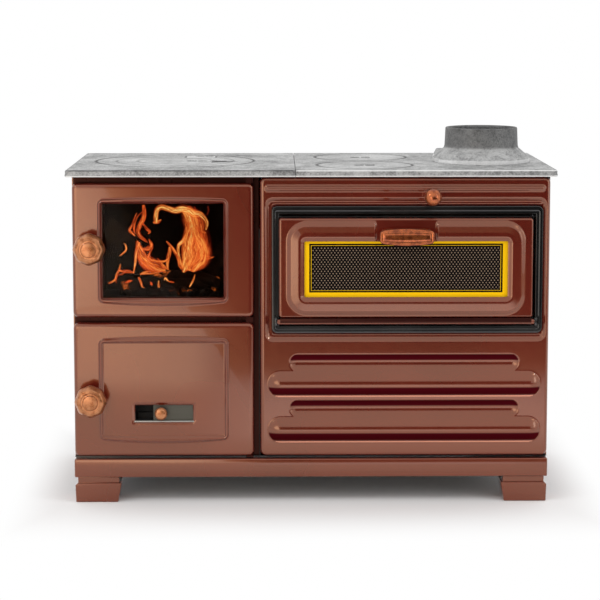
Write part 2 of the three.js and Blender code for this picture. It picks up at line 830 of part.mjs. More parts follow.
// The wide pressed panel that carries the oven, with two long ribs standing out and two short ones sunk in
function addOvenPanel() {
  const backY = faceY + doorThickness;
  const outline = roundedRectangle(panelLeft, panelRight, frontBottom, panelTop, panelCornerRadius);
  const pan = softFrontSlab(outline, faceY, backY, panelEdgeRadius);
  const hollow = box(
    panelLeft + sheet,
    panelRight - sheet,
    faceY + sheet,
    backY + cutOverrun,
    frontBottom + sheet,
    panelTop - sheet,
  );
  const recess = (grow, frontY, floorY) =>
    frontSlab(
      roundedRectangle(
        recessLeft - grow,
        recessRight + grow,
        recessBottom - grow,
        recessTop + grow,
        recessRadius + grow,
      ),
      frontY,
      floorY,
    );
  const frameHole = frontSlab(
    roundedRectangle(
      ovenFrameLeft - seat,
      ovenFrameRight + seat,
      ovenFrameBottom - seat,
      ovenFrameTop + seat,
      ovenFrameRadius,
    ),
    faceY - cutOverrun,
    backY + cutOverrun,
  );
  const topRibBottom = recessTop + topRibRise - topRibHeight / 2;
  const ribShape = (inset, bottomZ, height, shrink = 0) =>
    roundedRectangle(
      panelLeft + inset + shrink,
      panelRight - inset - shrink,
      bottomZ + shrink,
      bottomZ + height - shrink,
      height / 2 - shrink,
    );
  const raised = [
    softFrontSlab(
      ribShape(topRibInset, topRibBottom, topRibHeight),
      faceY - topRibReach,
      faceY + sheet,
      topRibReach,
    ),
  ];
  const trays = [recess(sheet, faceY + sheet, faceY + recessDepth + sheet)];
  const cuts = [recess(0, faceY - cutOverrun, faceY + recessDepth), frameHole];
  const ribCaps = [];
  for (const ribBottom of ribBottoms) {
    const grooveBottom = ribBottom + longRibHeight;
    const longRib = (shrink) => ribShape(longRibInset, ribBottom, longRibHeight, shrink);
    const shortRib = (shrink) => ribShape(shortRibInset, grooveBottom, shortRibHeight, shrink);
    raised.push(softFrontSlab(longRib(0), faceY - ribReach, faceY + sheet, ribRoundRadius));
    trays.push(frontSlab(shortRib(0), faceY + sheet, faceY + grooveDepth + sheet));
    cuts.push(frontSlab(longRib(ribRoundRadius), faceY - sheet, backY));
    cuts.push(frontSlab(shortRib(sheet), faceY - ribReach - cutOverrun, faceY + grooveDepth));
    ribCaps.push(frontSlab(longRib(ribRoundRadius - sheet), faceY - ribReach, faceY - ribReach + sheet));
  }
  const rodHole = rod(
    damperRodRadius + seat,
    faceY - topRibReach - cutOverrun,
    backY + cutOverrun,
    damperX,
    damperZ,
  );
  const formed = cutAll(joined([pan.subtract(hollow), ...raised, ...trays]), cuts);
  add("oven_panel", joined([formed, ...ribCaps]).subtract(rodHole), enamel);
}

// Black frame set in the panel's recess, with a rebate for the door and lugs for its hinge pins
function addOvenFrame() {
  const backY = faceY + ovenFrameDepth;
  const outline = roundedRectangle(
    ovenFrameLeft,
    ovenFrameRight,
    ovenFrameBottom,
    ovenFrameTop,
    ovenFrameRadius,
  );
  const rebate = roundedRectangle(
    ovenFrameLeft + ovenFrameLip,
    ovenFrameRight - ovenFrameLip,
    ovenFrameBottom + ovenFrameLip,
    ovenFrameTop - ovenFrameLip,
    ovenFrameLip,
  );
  const plate = softFrontSlab(outline, faceY, backY, sheet);
  const formed = cutAll(plate, [
    frontSlab(rebate, faceY - cutOverrun, backY - ovenLedge),
    box(mouth.left, mouth.right, faceY, backY + cutOverrun, mouth.bottom, mouth.top),
  ]);
  const lug = (x0) =>
    box(
      x0,
      x0 + ovenLugWidth,
      railY - railRadius,
      backY - ovenLedge / 2,
      railZ - ovenLugHeight / 2,
      railZ + ovenLugHeight / 2,
    );
  const lugLefts = [railLeft - seat - ovenLugWidth, railRight + seat];
  const holes = lugLefts.map((x) =>
    crossRod(ovenPinRadius + seat, x - seat, x + ovenLugWidth + seat, railY, railZ),
  );
  add("oven_frame", cutAll(joined([formed, ...lugLefts.map(lug)]), holes), blackEnamel);
}

// Sheet box of the oven, open at the front, with a flange behind the frame
function addOvenBox() {
  const frontY = faceY + ovenFrameDepth + seat;
  const backY = ovenBoxBackY;
  const shell = box(
    mouth.left - sheet,
    mouth.right + sheet,
    frontY,
    backY,
    mouth.bottom - sheet,
    mouth.top + sheet,
  );
  const flange = box(
    mouth.left - ovenBoxFlange,
    mouth.right + ovenBoxFlange,
    frontY,
    frontY + sheet,
    mouth.bottom - ovenBoxFlange,
    mouth.top + ovenBoxFlange,
  );
  const cavity = box(mouth.left, mouth.right, frontY - cutOverrun, backY - sheet, mouth.bottom, mouth.top);
  add("oven_box", shell.add(flange).subtract(cavity), blackEnamel);
  const runnerBottom = mouth.bottom + runnerRise;
  const runnerTop = runnerBottom + runnerHeight;
  const runnerFrontY = frontY + sheet;
  const runnerBackY = backY - sheet - seat;
  add(
    "oven_runner_left",
    box(mouth.left + seat, mouth.left + runnerWidth, runnerFrontY, runnerBackY, runnerBottom, runnerTop),
    bareSteel,
  );
  add(
    "oven_runner_right",
    box(mouth.right - runnerWidth, mouth.right - seat, runnerFrontY, runnerBackY, runnerBottom, runnerTop),
    bareSteel,
  );
  const rackZ = runnerTop + seat + rackBarRadius;
  const rackLeft = mouth.left + rackBarRadius;
  const rackRight = mouth.right - rackBarRadius;
  const rackFrontY = frontY + sheet + rackBarRadius * 2;
  const rackBackY = backY - sheet - rackRearGap;
  const rails = [rackFrontY, rackBackY].map((y) => crossRod(rackBarRadius, rackLeft, rackRight, y, rackZ));
  const bars = Array.from({ length: rackBars }, (_, i) => {
    const share = i / (rackBars - 1);
    const x = rackLeft + rackBarRadius + share * (rackRight - rackLeft - rackBarRadius * 2);
    return box(
      x - rackBarRadius,
      x + rackBarRadius,
      rackFrontY,
      rackBackY,
      rackZ - rackBarRadius / 2,
      rackZ + rackBarRadius / 2,
    );
  });
  add("oven_rack", joined([...rails, ...bars]), bareSteel);
}

const ovenDoorLeft = ovenFrameLeft + ovenDoorLeftGap;
const ovenDoorRight = ovenFrameRight - ovenDoorRightGap;
const ovenDoorTop = ovenFrameTop - ovenDoorTopGap;
const ovenDoorBottom = ovenFrameBottom + ovenDoorBottomGap;
const ovenFaceY = faceY - ovenDoorProud;
const ovenDoorBackY = ovenFaceY + ovenDoorThickness;
const railZ = ovenDoorBottom - railDrop;
const railY = ovenFaceY + railSetback;
const railLeft = ovenDoorLeft - railOverhang;
const railRight = ovenDoorRight + railOverhang;

// Drop-down oven door: a pressed shell with a raised ring round a printed glass
function addOvenDoor() {
  const outline = roundedRectangle(
    ovenDoorLeft,
    ovenDoorRight,
    ovenDoorBottom,
    ovenDoorTop,
    ovenDoorCornerRadius,
  );
  const pan = softFrontSlab(outline, ovenFaceY, ovenDoorBackY, sheet);
  const hollow = box(
    ovenDoorLeft + sheet,
    ovenDoorRight - sheet,
    ovenFaceY + sheet,
    ovenDoorBackY + cutOverrun,
    ovenDoorBottom + sheet,
    ovenDoorTop - sheet,
  );
  const ringOutline = roundedRectangle(
    ovenDoorLeft + ringSideMargin,
    ovenDoorRight - ringSideMargin,
    ovenDoorBottom + ringEndMargin,
    ovenDoorTop - ringEndMargin,
    ringCornerRadius,
  );
  const ring = softFrontSlab(ringOutline, ovenFaceY - ringHeight, ovenFaceY + sheet, ringEdge);
  const middleX = (ovenDoorLeft + ovenDoorRight) / 2;
  const glassTop = ovenDoorTop - ovenGlassTopMargin;
  const glassBottom = ovenDoorBottom + ovenGlassBottomMargin;
  const glassLeft = ovenDoorLeft + ovenGlassSideMargin;
  const glassRight = ovenDoorRight - ovenGlassSideMargin;
  const windowCut = frontSlab(
    roundedRectangle(
      glassLeft + seat,
      glassRight - seat,
      glassBottom + seat,
      glassTop - seat,
      ringInnerRadius / 2,
    ),
    ovenFaceY - ringHeight - cutOverrun,
    ovenDoorBackY + cutOverrun,
  );
  const notch = box(
    middleX - handleWidth / 2 - handleNotchPlay,
    middleX + handleWidth / 2 + handleNotchPlay,
    ovenFaceY - ringHeight - cutOverrun,
    ovenFaceY,
    ovenDoorTop - ringEndMargin - handleNotchHeight - handleDrop,
    ovenDoorTop,
  );
  const handleTop = ovenDoorTop - handleDrop;
  const handleZ = handleTop - handleHeight / 2;
  const postXs = [-1, 1].map((side) => middleX + side * (handleWidth / 2 - postInset));
  const postZ = handleTop - handleArch - postRadius;
  const postHoles = postXs.map((x) =>
    rod(postRadius + seat, ovenFaceY - ringHeight - cutOverrun, ovenFaceY + sheet + seat, x, postZ),
  );
  add("oven_door_shell", cutAll(pan.subtract(hollow).add(ring), [windowCut, notch, ...postHoles]), enamel);
  const hold = ovenGlassHold;
  const glassFrontY = ovenFaceY + sheet + seat;
  const glassBackY = glassFrontY + ovenGlassThickness;
  const pane = (grow, frontY, backY) =>
    box(glassLeft - grow, glassRight + grow, frontY, backY, glassBottom - grow, glassTop + grow);
  add("oven_door_glass", pane(hold, glassFrontY, glassBackY), glass);
  const linerFrontY = ovenFaceY + sheet + seat;
  const liner = box(
    ovenDoorLeft + sheet + seat,
    ovenDoorRight - sheet - seat,
    linerFrontY,
    ovenDoorBackY,
    ovenDoorBottom + sheet + seat,
    ovenDoorTop - sheet - seat,
  );
  const viewCut = box(
    glassLeft,
    glassRight,
    linerFrontY,
    ovenDoorBackY + cutOverrun,
    glassBottom,
    glassTop,
  );
  add(
    "oven_door_liner",
    cutAll(liner, [viewCut, pane(hold + glassPlay, linerFrontY - cutOverrun, glassBackY + seat)]),
    darkIron,
  );
  addHandle(middleX, handleZ, postXs, postZ);
  addHingeRail();
}

// Cast bow handle on two posts, arched along its top and bottom
function addHandle(middleX, handleZ, postXs, postZ) {
  const left = middleX - handleWidth / 2;
  const right = middleX + handleWidth / 2;
  const bottom = handleZ - handleHeight / 2 + handleArch;
  const top = handleZ + handleHeight / 2 - handleArch;
  const shape = bowedRectangle(left, right, bottom, top, handleCorner, handleArch, handleArch);
  const frontY = ovenFaceY - handleReach;
  const grip = softFrontSlab(shape, frontY, frontY + handleThickness, handleEdge);
  const posts = postXs.map((x) => rod(postRadius, frontY + handleEdge, ovenFaceY + sheet, x, postZ));
  add("oven_door_handle", joined([grip, ...posts]), copper);
}

// Round rail along the foot of the oven door, on a pin at each end
function addHingeRail() {
  const pinDepth = ovenPinLength - ovenLugWidth;
  const rail = crossRod(railRadius, railLeft, railRight, railY, railZ);
  const web = box(
    ovenDoorLeft + sheet,
    ovenDoorRight - sheet,
    railY - sheet / 2,
    railY + sheet / 2,
    railZ,
    ovenDoorBottom - seat,
  );
  const socket = (x0, x1) => crossRod(ovenPinRadius + seat, x0, x1, railY, railZ);
  const body = cutAll(rail.add(web), [
    socket(railLeft - cutOverrun, railLeft + pinDepth + seat),
    socket(railRight - pinDepth - seat, railRight + cutOverrun),
  ]);
  add("oven_hinge_rail", body, enamel);
  add(
    "oven_hinge_pin_left",
    crossRod(ovenPinRadius, railLeft - ovenLugWidth, railLeft + pinDepth, railY, railZ),
    bareSteel,
  );
  add(
    "oven_hinge_pin_right",
    crossRod(ovenPinRadius, railRight - pinDepth, railRight + ovenLugWidth, railY, railZ),
    bareSteel,
  );
}

// Damper: a plate that slides on top of the oven box, pulled by a rod with a ball knob
function addDamper() {
  const ovenTopZ = mouth.top + sheet;
  const plateBottom = ovenTopZ + seat;
  const plateBackY = innerBackY;
  const plateFrontY = ovenBoxBackY - damperPlateDepth;
  const tabFrontY = plateFrontY;
  const plate = box(
    mouth.left + damperPlateLeftInset,
    mouth.right - damperPlateRightInset,
    plateFrontY,
    plateBackY,
    plateBottom,
    plateBottom + damperPlateThickness,
  );
  const tab = box(
    damperX - damperTabWidth / 2,
    damperX + damperTabWidth / 2,
    tabFrontY,
    tabFrontY + damperPlateThickness,
    plateBottom,
    damperZ + damperRodRadius * 2,
  );
  const tabHole = rod(
    damperRodRadius + seat,
    tabFrontY - cutOverrun,
    tabFrontY + cutOverrun,
    damperX,
    damperZ,
  );
  add("damper_plate", plate.add(tab).subtract(tabHole), darkIron);
  const knobY = faceY - damperKnobReach;
  const knob = new THREE.SphereGeometry(damperKnobRadius, ballSteps * 2, ballSteps);
  const rodFrontY = knobY + damperKnobRadius / 2;
  const rodBackY = tabFrontY + damperPlateThickness + damperRodRadius;
  const ball = solid(knob.translate(damperX, knobY, damperZ));
  const socket = rod(damperRodRadius + seat, rodFrontY - seat, faceY, damperX, damperZ);
  add("damper_knob", ball.subtract(socket), copper);
  add("damper_rod", rod(damperRodRadius, rodFrontY, rodBackY, damperX, damperZ), bareSteel);
}

const hobLeft = -hobWidth / 2;
const hobRight = hobWidth / 2;
const largeRadius = (hobDepth - largeFrontMargin - largeRearMargin) / 2;
const innerRingRadius = largeRadius - outerRingWidth;
const lidRadius = innerRingRadius - innerRingWidth;
const smallRadius = (hobDepth - smallFrontMargin - smallGap - smallRearMargin) / 4;
const large = {
  x: hobLeft + largeLeftMargin + largeRadius,
  y: hobFrontY + largeFrontMargin + largeRadius,
};
const flue = {
  x: hobRight - flueFromRight,
  y: (hobFrontY + hobBackY) / 2 + flueShift,
};
const smallX = (large.x + largeRadius + flue.x - padLeft) / 2 + smallShift;
const smallFrontY = hobFrontY + smallFrontMargin + smallRadius;
const smallRearY = hobBackY - smallRearMargin - smallRadius;

// A stepped hole that a ring or lid rests in
function ringSeat(radius, x, y, steps = roundSteps) {
  return turned(
    [
      [0, rimBottom - cutOverrun],
      [radius - ledgeWidth, rimBottom - cutOverrun],
      [radius - ledgeWidth, hobTop - ledgeDepth],
      [radius, hobTop - ledgeDepth],
      [radius, hobTop + cutOverrun],
      [0, hobTop + cutOverrun],
    ],
    x,
    y,
    steps,
  );
}

// A stepped disc that sits flush in such a hole
function steppedDisc(radius, x, y) {
  const low = radius - ledgeWidth - seat;
  const high = radius - seat;
  return turned(
    [
      [0, hobUnderside],
      [low, hobUnderside],
      [low, hobTop - ledgeDepth + seat],
      [high, hobTop - ledgeDepth + seat],
      [high, hobTop],
      [0, hobTop],
    ],
    x,
    y,
    roundSteps,
  );
}

// A hob casting: a plate with a deeper rim along its outer edges
function hobCasting(x0, x1, rimLeft, rimRight) {
  const edge = hobEdge;
  const outline = roundedRectangle(x0, x1, hobFrontY, hobBackY, hobCornerRadius);
  const bevelled = new THREE.ExtrudeGeometry(outline, {
    depth: hobRimHeight - edge * 2,
    curveSegments: cornerSteps,
    bevelEnabled: true,
    bevelThickness: edge,
    bevelSize: edge,
    bevelOffset: -edge,
    bevelSegments: bevelSteps,
  });
  const body = solid(bevelled.translate(0, 0, rimBottom + edge));
  const well = box(
    x0 + rimLeft,
    x1 - rimRight,
    hobFrontY + hobRim,
    hobBackY - hobRim,
    rimBottom - cutOverrun,
    hobUnderside,
  );
  return body.subtract(well);
}

function addHob() {
  const seam = (large.x + largeRadius + smallX - smallRadius) / 2 + hobSeamShift;
  const leftRight = seam - hobSeamGap / 2;
  const rightLeft = seam + hobSeamGap / 2;
  const open = -cutOverrun;
  const left = hobCasting(hobLeft, leftRight, hobRim, open);
  add("hob_left", left.subtract(ringSeat(largeRadius, large.x, large.y)), castIron);
  const right = hobCasting(rightLeft, hobRight, open, hobRim);
  const flueHole = post(flueRadius - flueWall, rimBottom, hobTop + cutOverrun, flue.x, flue.y, roundSteps);
  add(
    "hob_right",
    cutAll(right, [
      ringSeat(smallRadius, smallX, smallFrontY),
      ringSeat(smallRadius, smallX, smallRearY),
      flueHole,
    ]),
    castIron,
  );
}

// Rings and lids that lift out of the hob, each lid with a slot for the lifting iron
function addRings() {
  const slotAt = (x, y, reach) =>
    box(
      x + reach - lifterSlotLength / 2,
      x + reach + lifterSlotLength / 2,
      y - lifterSlotWidth / 2,
      y + lifterSlotWidth / 2,
      hobTop - lifterDepth,
      hobTop + cutOverrun,
    );
  const hole = (radius) => ringSeat(radius, large.x, large.y);
  const outer = steppedDisc(largeRadius, large.x, large.y).subtract(hole(innerRingRadius));
  add("large_ring_outer", outer, castIron);
  const inner = steppedDisc(innerRingRadius, large.x, large.y).subtract(hole(lidRadius));
  add("large_ring_inner", inner, castIron);
  const lidReach = lidRadius - lifterInset - lifterSlotLength / 2;
  const lid = steppedDisc(lidRadius, large.x, large.y);
  add("large_lid", lid.subtract(slotAt(large.x, large.y, lidReach)), castIron);
  for (const [name, y] of [
    ["small_lid_front", smallFrontY],
    ["small_lid_rear", smallRearY],
  ]) {
    add(name, steppedDisc(smallRadius, smallX, y).subtract(slotAt(smallX, y, 0)), castIron);
  }
}

// Flue collar: a low pad with one square side, a conical skirt and a slightly tapered spigot
function addFlueCollar() {
  const bottom = hobTop + seat;
  const x0 = flue.x - padLeft;
  const x1 = flue.x + padRight;
  const y0 = flue.y - padHalfDepth;
  const y1 = flue.y + padHalfDepth;
  const pad = new THREE.Shape();
  pad.moveTo(x0 + padLeftRadius, y0);
  pad.lineTo(x1 - padRightRadius, y0);
  pad.absarc(x1 - padRightRadius, y0 + padRightRadius, padRightRadius, -Math.PI / 2, 0);
  pad.lineTo(x1, y1 - padRightRadius);
  pad.absarc(x1 - padRightRadius, y1 - padRightRadius, padRightRadius, 0, Math.PI / 2);
  pad.lineTo(x0 + padLeftRadius, y1);
  pad.absarc(x0 + padLeftRadius, y1 - padLeftRadius, padLeftRadius, Math.PI / 2, Math.PI);
  pad.lineTo(x0, y0 + padLeftRadius);
  pad.absarc(x0 + padLeftRadius, y0 + padLeftRadius, padLeftRadius, Math.PI, (Math.PI * 3) / 2);
  const slope = new THREE.ExtrudeGeometry(pad, {
    depth: padFootHeight,
    curveSegments: cornerSteps * 2,
    bevelEnabled: true,
    bevelThickness: padHeight - padFootHeight,
    bevelSize: padSlope,
    bevelOffset: -padSlope,
    bevelSegments: 1,
  });
  const below = box(x0, x1, y0, y1, bottom - padHeight, bottom);
  const base = solid(slope.translate(0, 0, bottom)).subtract(below);
  const spigot = turned(
    [
      [0, bottom],
      [skirtRadius, bottom],
      [skirtRadius, bottom + skirtRimHeight],
      [flueRadius, bottom + flueNeckHeight],
      [flueRadius - flueTaper, bottom + flueHeight],
      [0, bottom + flueHeight],
    ],
    flue.x,
    flue.y,
    roundSteps,
  );
  const bore = turned(
    [
      [0, bottom - cutOverrun],
      [flueRadius - flueWall, bottom - cutOverrun],
      [flueRadius - flueWall - flueTaper, bottom + flueHeight + cutOverrun],
      [0, bottom + flueHeight + cutOverrun],
    ],
    flue.x,
    flue.y,
    roundSteps,
  );
  add("flue_collar", base.add(spigot).subtract(bore), castIron);
}

// Shelf, grate and firebricks of the firebox
function addFirebox() {
  const shelfTop = fireBottom - shelfDrop;
  const shelfBottom = shelfTop - shelfThickness;
  const shelfFrontY = castingBackY + seat;
  const liningFrontY = castingBackY + brickFrontSetback;
  const liningBackY = innerBackY - brickRearGap;
  const grateLeft = innerLeft + brickThickness + grateSideGap;
  const grateRight = castingRight - brickThickness - grateSideGap;
  const grateFrontY = liningFrontY + grateEndGap;
  const grateBackY = liningBackY - brickThickness - grateEndGap;
  const opening = box(
    grateLeft + grateHold,
    grateRight - grateHold,
    grateFrontY + grateHold,
    grateBackY - grateHold,
    shelfBottom - cutOverrun,
    shelfTop + cutOverrun,
  );
  const shelf = box(innerLeft, castingRight, shelfFrontY, innerBackY - seat, shelfBottom, shelfTop);
  add("fire_shelf", shelf.subtract(opening), darkIron);
  const grateBottom = shelfTop + seat;
  const grateTop = grateBottom + grateThickness;
  const plate = box(grateLeft, grateRight, grateFrontY, grateBackY, grateBottom, grateTop);
  const pitch = (grateRight - grateLeft - grateRim * 2) / grateBars;
  const slots = Array.from({ length: grateBars }, (_, i) => {
    const x = grateLeft + grateRim + (i + 1 / 2) * pitch;
    const half = (pitch * grateSlotShare) / 2;
    return box(
      x - half,
      x + half,
      grateFrontY + grateRim,
      grateBackY - grateRim,
      grateBottom - cutOverrun,
      grateTop + cutOverrun,
    );
  });
  add("fire_grate", cutAll(plate, slots), darkIron);
  const brickBottom = shelfTop + seat;
  const brickTop = hobUnderside - brickTopGap;
  const sideBackY = liningBackY - brickThickness - seat;
  add(
    "firebrick_left",
    box(innerLeft, innerLeft + brickThickness, liningFrontY, sideBackY, brickBottom, brickTop),
    brick,
  );
  add(
    "firebrick_right",
    box(castingRight - brickThickness, castingRight, liningFrontY, sideBackY, brickBottom, brickTop),
    brick,
  );
  add(
    "firebrick_back",
    box(innerLeft, castingRight, liningBackY - brickThickness, liningBackY, brickBottom, brickTop),
    brick,
  );
}

// Open-topped ash drawer with a bent grip on its front
function addAshDrawer() {
  const [frontY, backY] = [drawerFrontY, drawerBackY];
  const bottom = ashMouthBottom + seat;
  const top = bottom + drawerHeight;
  const body = box(drawerLeft, drawerRight, frontY, backY, bottom, top);
  const hollow = box(
    drawerLeft + sheet,
    drawerRight - sheet,
    frontY + sheet,
    backY - sheet,
    bottom + sheet,
    top + cutOverrun,
  );
  const middleX = (drawerLeft + drawerRight) / 2;
  const gripLeft = middleX - drawerGripWidth / 2;
  const gripRight = middleX + drawerGripWidth / 2;
  const gripTop = bottom + drawerHeight / 2;
  const gripBottom = gripTop - drawerGripHeight;
  const gripFrontY = frontY - drawerSetback;
  const shelf = box(gripLeft, gripRight, gripFrontY, frontY + sheet / 2, gripTop - sheet, gripTop);
  const lip = box(gripLeft, gripRight, gripFrontY - sheet, gripFrontY, gripBottom, gripTop);
  add("ash_drawer", joined([body.subtract(hollow), shelf, lip]), darkIron);
}

addFeet();
addPlinth();
addWalls();
addFrontCasting();
addHingeLugs();
addFireDoor();
addAshDoor();
addOvenPanel();
addOvenFrame();
addOvenBox();
addOvenDoor();
addDamper();
addHob();
addRings();
addFlueCollar();
addFirebox();
addAshDrawer();

export default stove;
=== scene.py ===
import math

import bmesh
import bpy
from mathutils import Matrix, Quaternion, Vector, noise
from mathutils.geometry import tessellate_polygon


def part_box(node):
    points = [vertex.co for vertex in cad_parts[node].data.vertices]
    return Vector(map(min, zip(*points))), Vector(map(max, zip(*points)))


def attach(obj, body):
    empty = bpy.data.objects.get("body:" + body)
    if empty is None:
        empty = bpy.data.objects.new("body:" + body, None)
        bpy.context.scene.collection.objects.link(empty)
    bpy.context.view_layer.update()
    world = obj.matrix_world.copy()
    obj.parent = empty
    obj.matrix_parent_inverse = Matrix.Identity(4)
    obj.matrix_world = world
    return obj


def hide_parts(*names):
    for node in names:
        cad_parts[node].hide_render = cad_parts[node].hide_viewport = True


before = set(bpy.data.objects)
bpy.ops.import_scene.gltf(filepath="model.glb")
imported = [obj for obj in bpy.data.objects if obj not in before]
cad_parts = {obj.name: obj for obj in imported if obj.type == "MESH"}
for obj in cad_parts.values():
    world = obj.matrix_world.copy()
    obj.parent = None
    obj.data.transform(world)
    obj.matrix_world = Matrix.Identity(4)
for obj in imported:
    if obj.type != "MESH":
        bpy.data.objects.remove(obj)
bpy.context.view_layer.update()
MM = 0.001


# The room: a pale floor that keeps the stove's shadow and turns white behind it, under soft light.
# The camera stands a little above the hob, opposite the gap between the doors and the oven.
def sums(operation, swapped=False):
    """A method that puts a value in a sum with another one, which comes first where swapped."""
    def total(self, other=0.0):
        return self.sum(operation, *((other, self) if swapped else (self, other)))

    return total


class Tone:
    """A value inside a finish, which can be used in sums like a number."""

    def __init__(self, tree, socket=None):
        self.tree = tree
        self.socket = socket

    def node(self, kind, values, output=0, **settings):
        """Adds any node, with its settings and the numbers or links of its sockets."""
        made = self.tree.nodes.new(kind)
        for name, value in settings.items():
            setattr(made, name, value)
        for key, value in values.items():
            for part in value if isinstance(value, list) else [value]:
                if isinstance(part, Tone):
                    self.tree.links.new(part.socket, made.inputs[key])
                else:
                    made.inputs[key].default_value = part
        return Tone(self.tree, made.outputs[output] if len(made.outputs) else None)

    def sum(self, operation, first, second=0.0):
        return self.node("ShaderNodeMath", {0: first, 1: second}, operation=operation)

    __add__ = __radd__ = sums("ADD")
    __sub__, __rsub__ = sums("SUBTRACT"), sums("SUBTRACT", swapped=True)
    __mul__ = __rmul__ = sums("MULTIPLY")
    __truediv__, __pow__ = sums("DIVIDE"), sums("POWER")
    size, least, most = sums("ABSOLUTE"), sums("MINIMUM"), sums("MAXIMUM")

    def ramp(self, low, high, start=0.0, end=1.0):
        """Runs smoothly from start to end as the value goes from low to high."""
        values = {"Value": self, "From Min": low, "From Max": high, "To Min": start, "To Max": end}
        return self.node("ShaderNodeMapRange", values, interpolation_type="SMOOTHSTEP")

    def fall(self, low, high):
        """Runs smoothly from one to zero as the value goes from low to high."""
        return self.ramp(low, high, 1.0, 0.0)

    def noise(self, scale, detail=3.0, rough=0.5, warp=0.0):
        """Cloudy noise read at this place."""
        values = {"Vector": self, "Scale": scale, "Detail": detail, "Roughness": rough, "Distortion": warp}
        return self.node("ShaderNodeTexNoise", values)

    def stretched(self, x, y, z):
        """This place, pulled out along each axis."""
        return self.node("ShaderNodeMapping", {"Vector": self, "Scale": (x, y, z)})

    def along(self, axis):
        """One of the three numbers of this place."""
        return self.node("ShaderNodeSeparateXYZ", {0: self}, axis)

    def mark(self, name, output="Fac"):
        """What the points of the mesh carry under this name."""
        return self.node("ShaderNodeAttribute", {}, output, attribute_name=name)

    def blend(self, first, second, share):
        """A colour between two others; a single number is a grey."""
        greys = [(c, c, c) if isinstance(c, float) else c for c in (first, second)]
        first, second = [c if isinstance(c, Tone) else (*c, 1.0) for c in greys]
        return self.node("ShaderNodeMix", {0: share, 6: first, 7: second}, 2, data_type="RGBA")


def cleared(owner):
    """The empty nodes of a finish, a lamp or the world."""
    owner.use_nodes = True
    owner.node_tree.nodes.clear()
    return Tone(owner.node_tree)


def new_finish(name):
    """An empty finish and the place on the object that it is read at."""
    finish = bpy.data.materials.new(name)
    return finish, cleared(finish).node("ShaderNodeTexCoord", {}, "Object")


def coat(place, colour, roughness, relief=None, **more):
    """Ends a finish in one shader; relief is the height, strength and depth in millimetres of its bumps."""
    values = {name.replace("_", " "): value for name, value in more.items()}
    if relief:
        height, strength, depth = relief
        bumps = {"Strength": strength, "Distance": depth * MM, "Height": height}
        values["Normal"] = place.node("ShaderNodeBump", bumps)
    values.update({"Base Color": colour, "Roughness": roughness})
    shader = place.node("ShaderNodeBsdfPrincipled", values)
    place.node("ShaderNodeOutputMaterial", {"Surface": shader})


class Form:
    """The points and faces of one piece while it is shaped, in millimetres."""

    def __init__(self):
        self.points = []
        self.faces = []

    def loop(self, points):
        start = len(self.points)
        self.points += points
        return list(range(start, start + len(points)))

    def skin(self, loops, ring=True):
        """Faces between loops of equal length; an open strip where ring is off."""
        for one, two in zip(loops, loops[1:]):
            count = len(one)
            for i in range(count if ring else count - 1):
                j = (i + 1) % count
                self.faces.append((one[i], one[j], two[j], two[i]))

    def fill(self, outer, *holes):
        """A flat face inside an outer loop, less its holes."""
        loops = [outer, *holes]
        order = [i for loop in loops for i in loop]
        corners = [[Vector(self.points[i]) for i in loop] for loop in loops]
        for triangle in tessellate_polygon(corners):
            self.faces.append(tuple(order[i] for i in triangle))


def skinned(name, form, finish, **marks):
    """A smooth mesh of a form, whose points carry these marks: one number each, or three."""
    mesh = bpy.data.meshes.new(name)
    mesh.from_pydata([Vector(p) * MM for p in form.points], [], form.faces)
    for label, numbers in marks.items():
        kind, key = ("FLOAT_VECTOR", "vector") if len(numbers) > len(form.points) else ("FLOAT", "value")
        mesh.attributes.new(label, kind, "POINT").data.foreach_set(key, numbers)
    mesh.polygons.foreach_set("use_smooth", [True] * len(mesh.polygons))
    mesh.materials.append(finish)
    return mesh


def stood(name, data):
    """A new object with this data, in the scene."""
    made = bpy.data.objects.new(name, data)
    bpy.context.scene.collection.objects.link(made)
    return made


def piece(name, form, finish, sharp=35, closed=True, **marks):
    """A named object made of a form: doubles merged, normals outwards, smooth but for its sharp edges."""
    mesh = skinned(name, form, finish, **marks)
    shape = bmesh.new()
    shape.from_mesh(mesh)
    bmesh.ops.remove_doubles(shape, verts=shape.verts, dist=0.00002)
    bmesh.ops.delete(shape, geom=[v for v in shape.verts if not v.link_faces], context="VERTS")
    if closed:
        bmesh.ops.recalc_face_normals(shape, faces=shape.faces)
    shape.to_mesh(mesh)
    shape.free()
    mesh.set_sharp_from_angle(angle=math.radians(sharp))
    return stood(name, mesh)


def sheet(name, corners, finish, height):
    """A flat sheet of the studio lying or standing on its corners."""
    form = Form()
    form.faces.append(form.loop([(x, y, z + height) for x, y, z in corners]))
    made = piece(name, form, finish, closed=False)
    return made


pale_floor, place = new_finish("pale_floor")
aside = (place.along("X").size() - 0.42).most(0.0)
ahead = ((place.along("Y") - 0.02).size() - 0.20).most(0.0)
far = aside.ramp(0.0, 0.10).most(ahead.ramp(0.02, 0.26))
camera_ray, glossy_ray, glass_ray = [
    place.node("ShaderNodeLightPath", {}, f"Is {kind} Ray") for kind in ("Camera", "Glossy", "Transmission")
]
dull = place.node("ShaderNodeBsdfDiffuse", {"Color": place.blend(0.93, 0.95, place.noise(2.0))})
white = place.node("ShaderNodeEmission", {"Color": (1.0, 1.0, 1.0, 1.0), "Strength": 1.0})
seen = far * camera_ray.most(glossy_ray).most(glass_ray)
floor_shader = place.node("ShaderNodeMixShader", {0: seen, 1: dull, 2: white})
place.node("ShaderNodeOutputMaterial", {"Surface": floor_shader})
FLOOR = 7000
sheet("floor", [(-FLOOR, -FLOOR, 0), (FLOOR, -FLOOR, 0), (FLOOR, FLOOR, 0), (-FLOOR, FLOOR, 0)], pale_floor, -0.2)

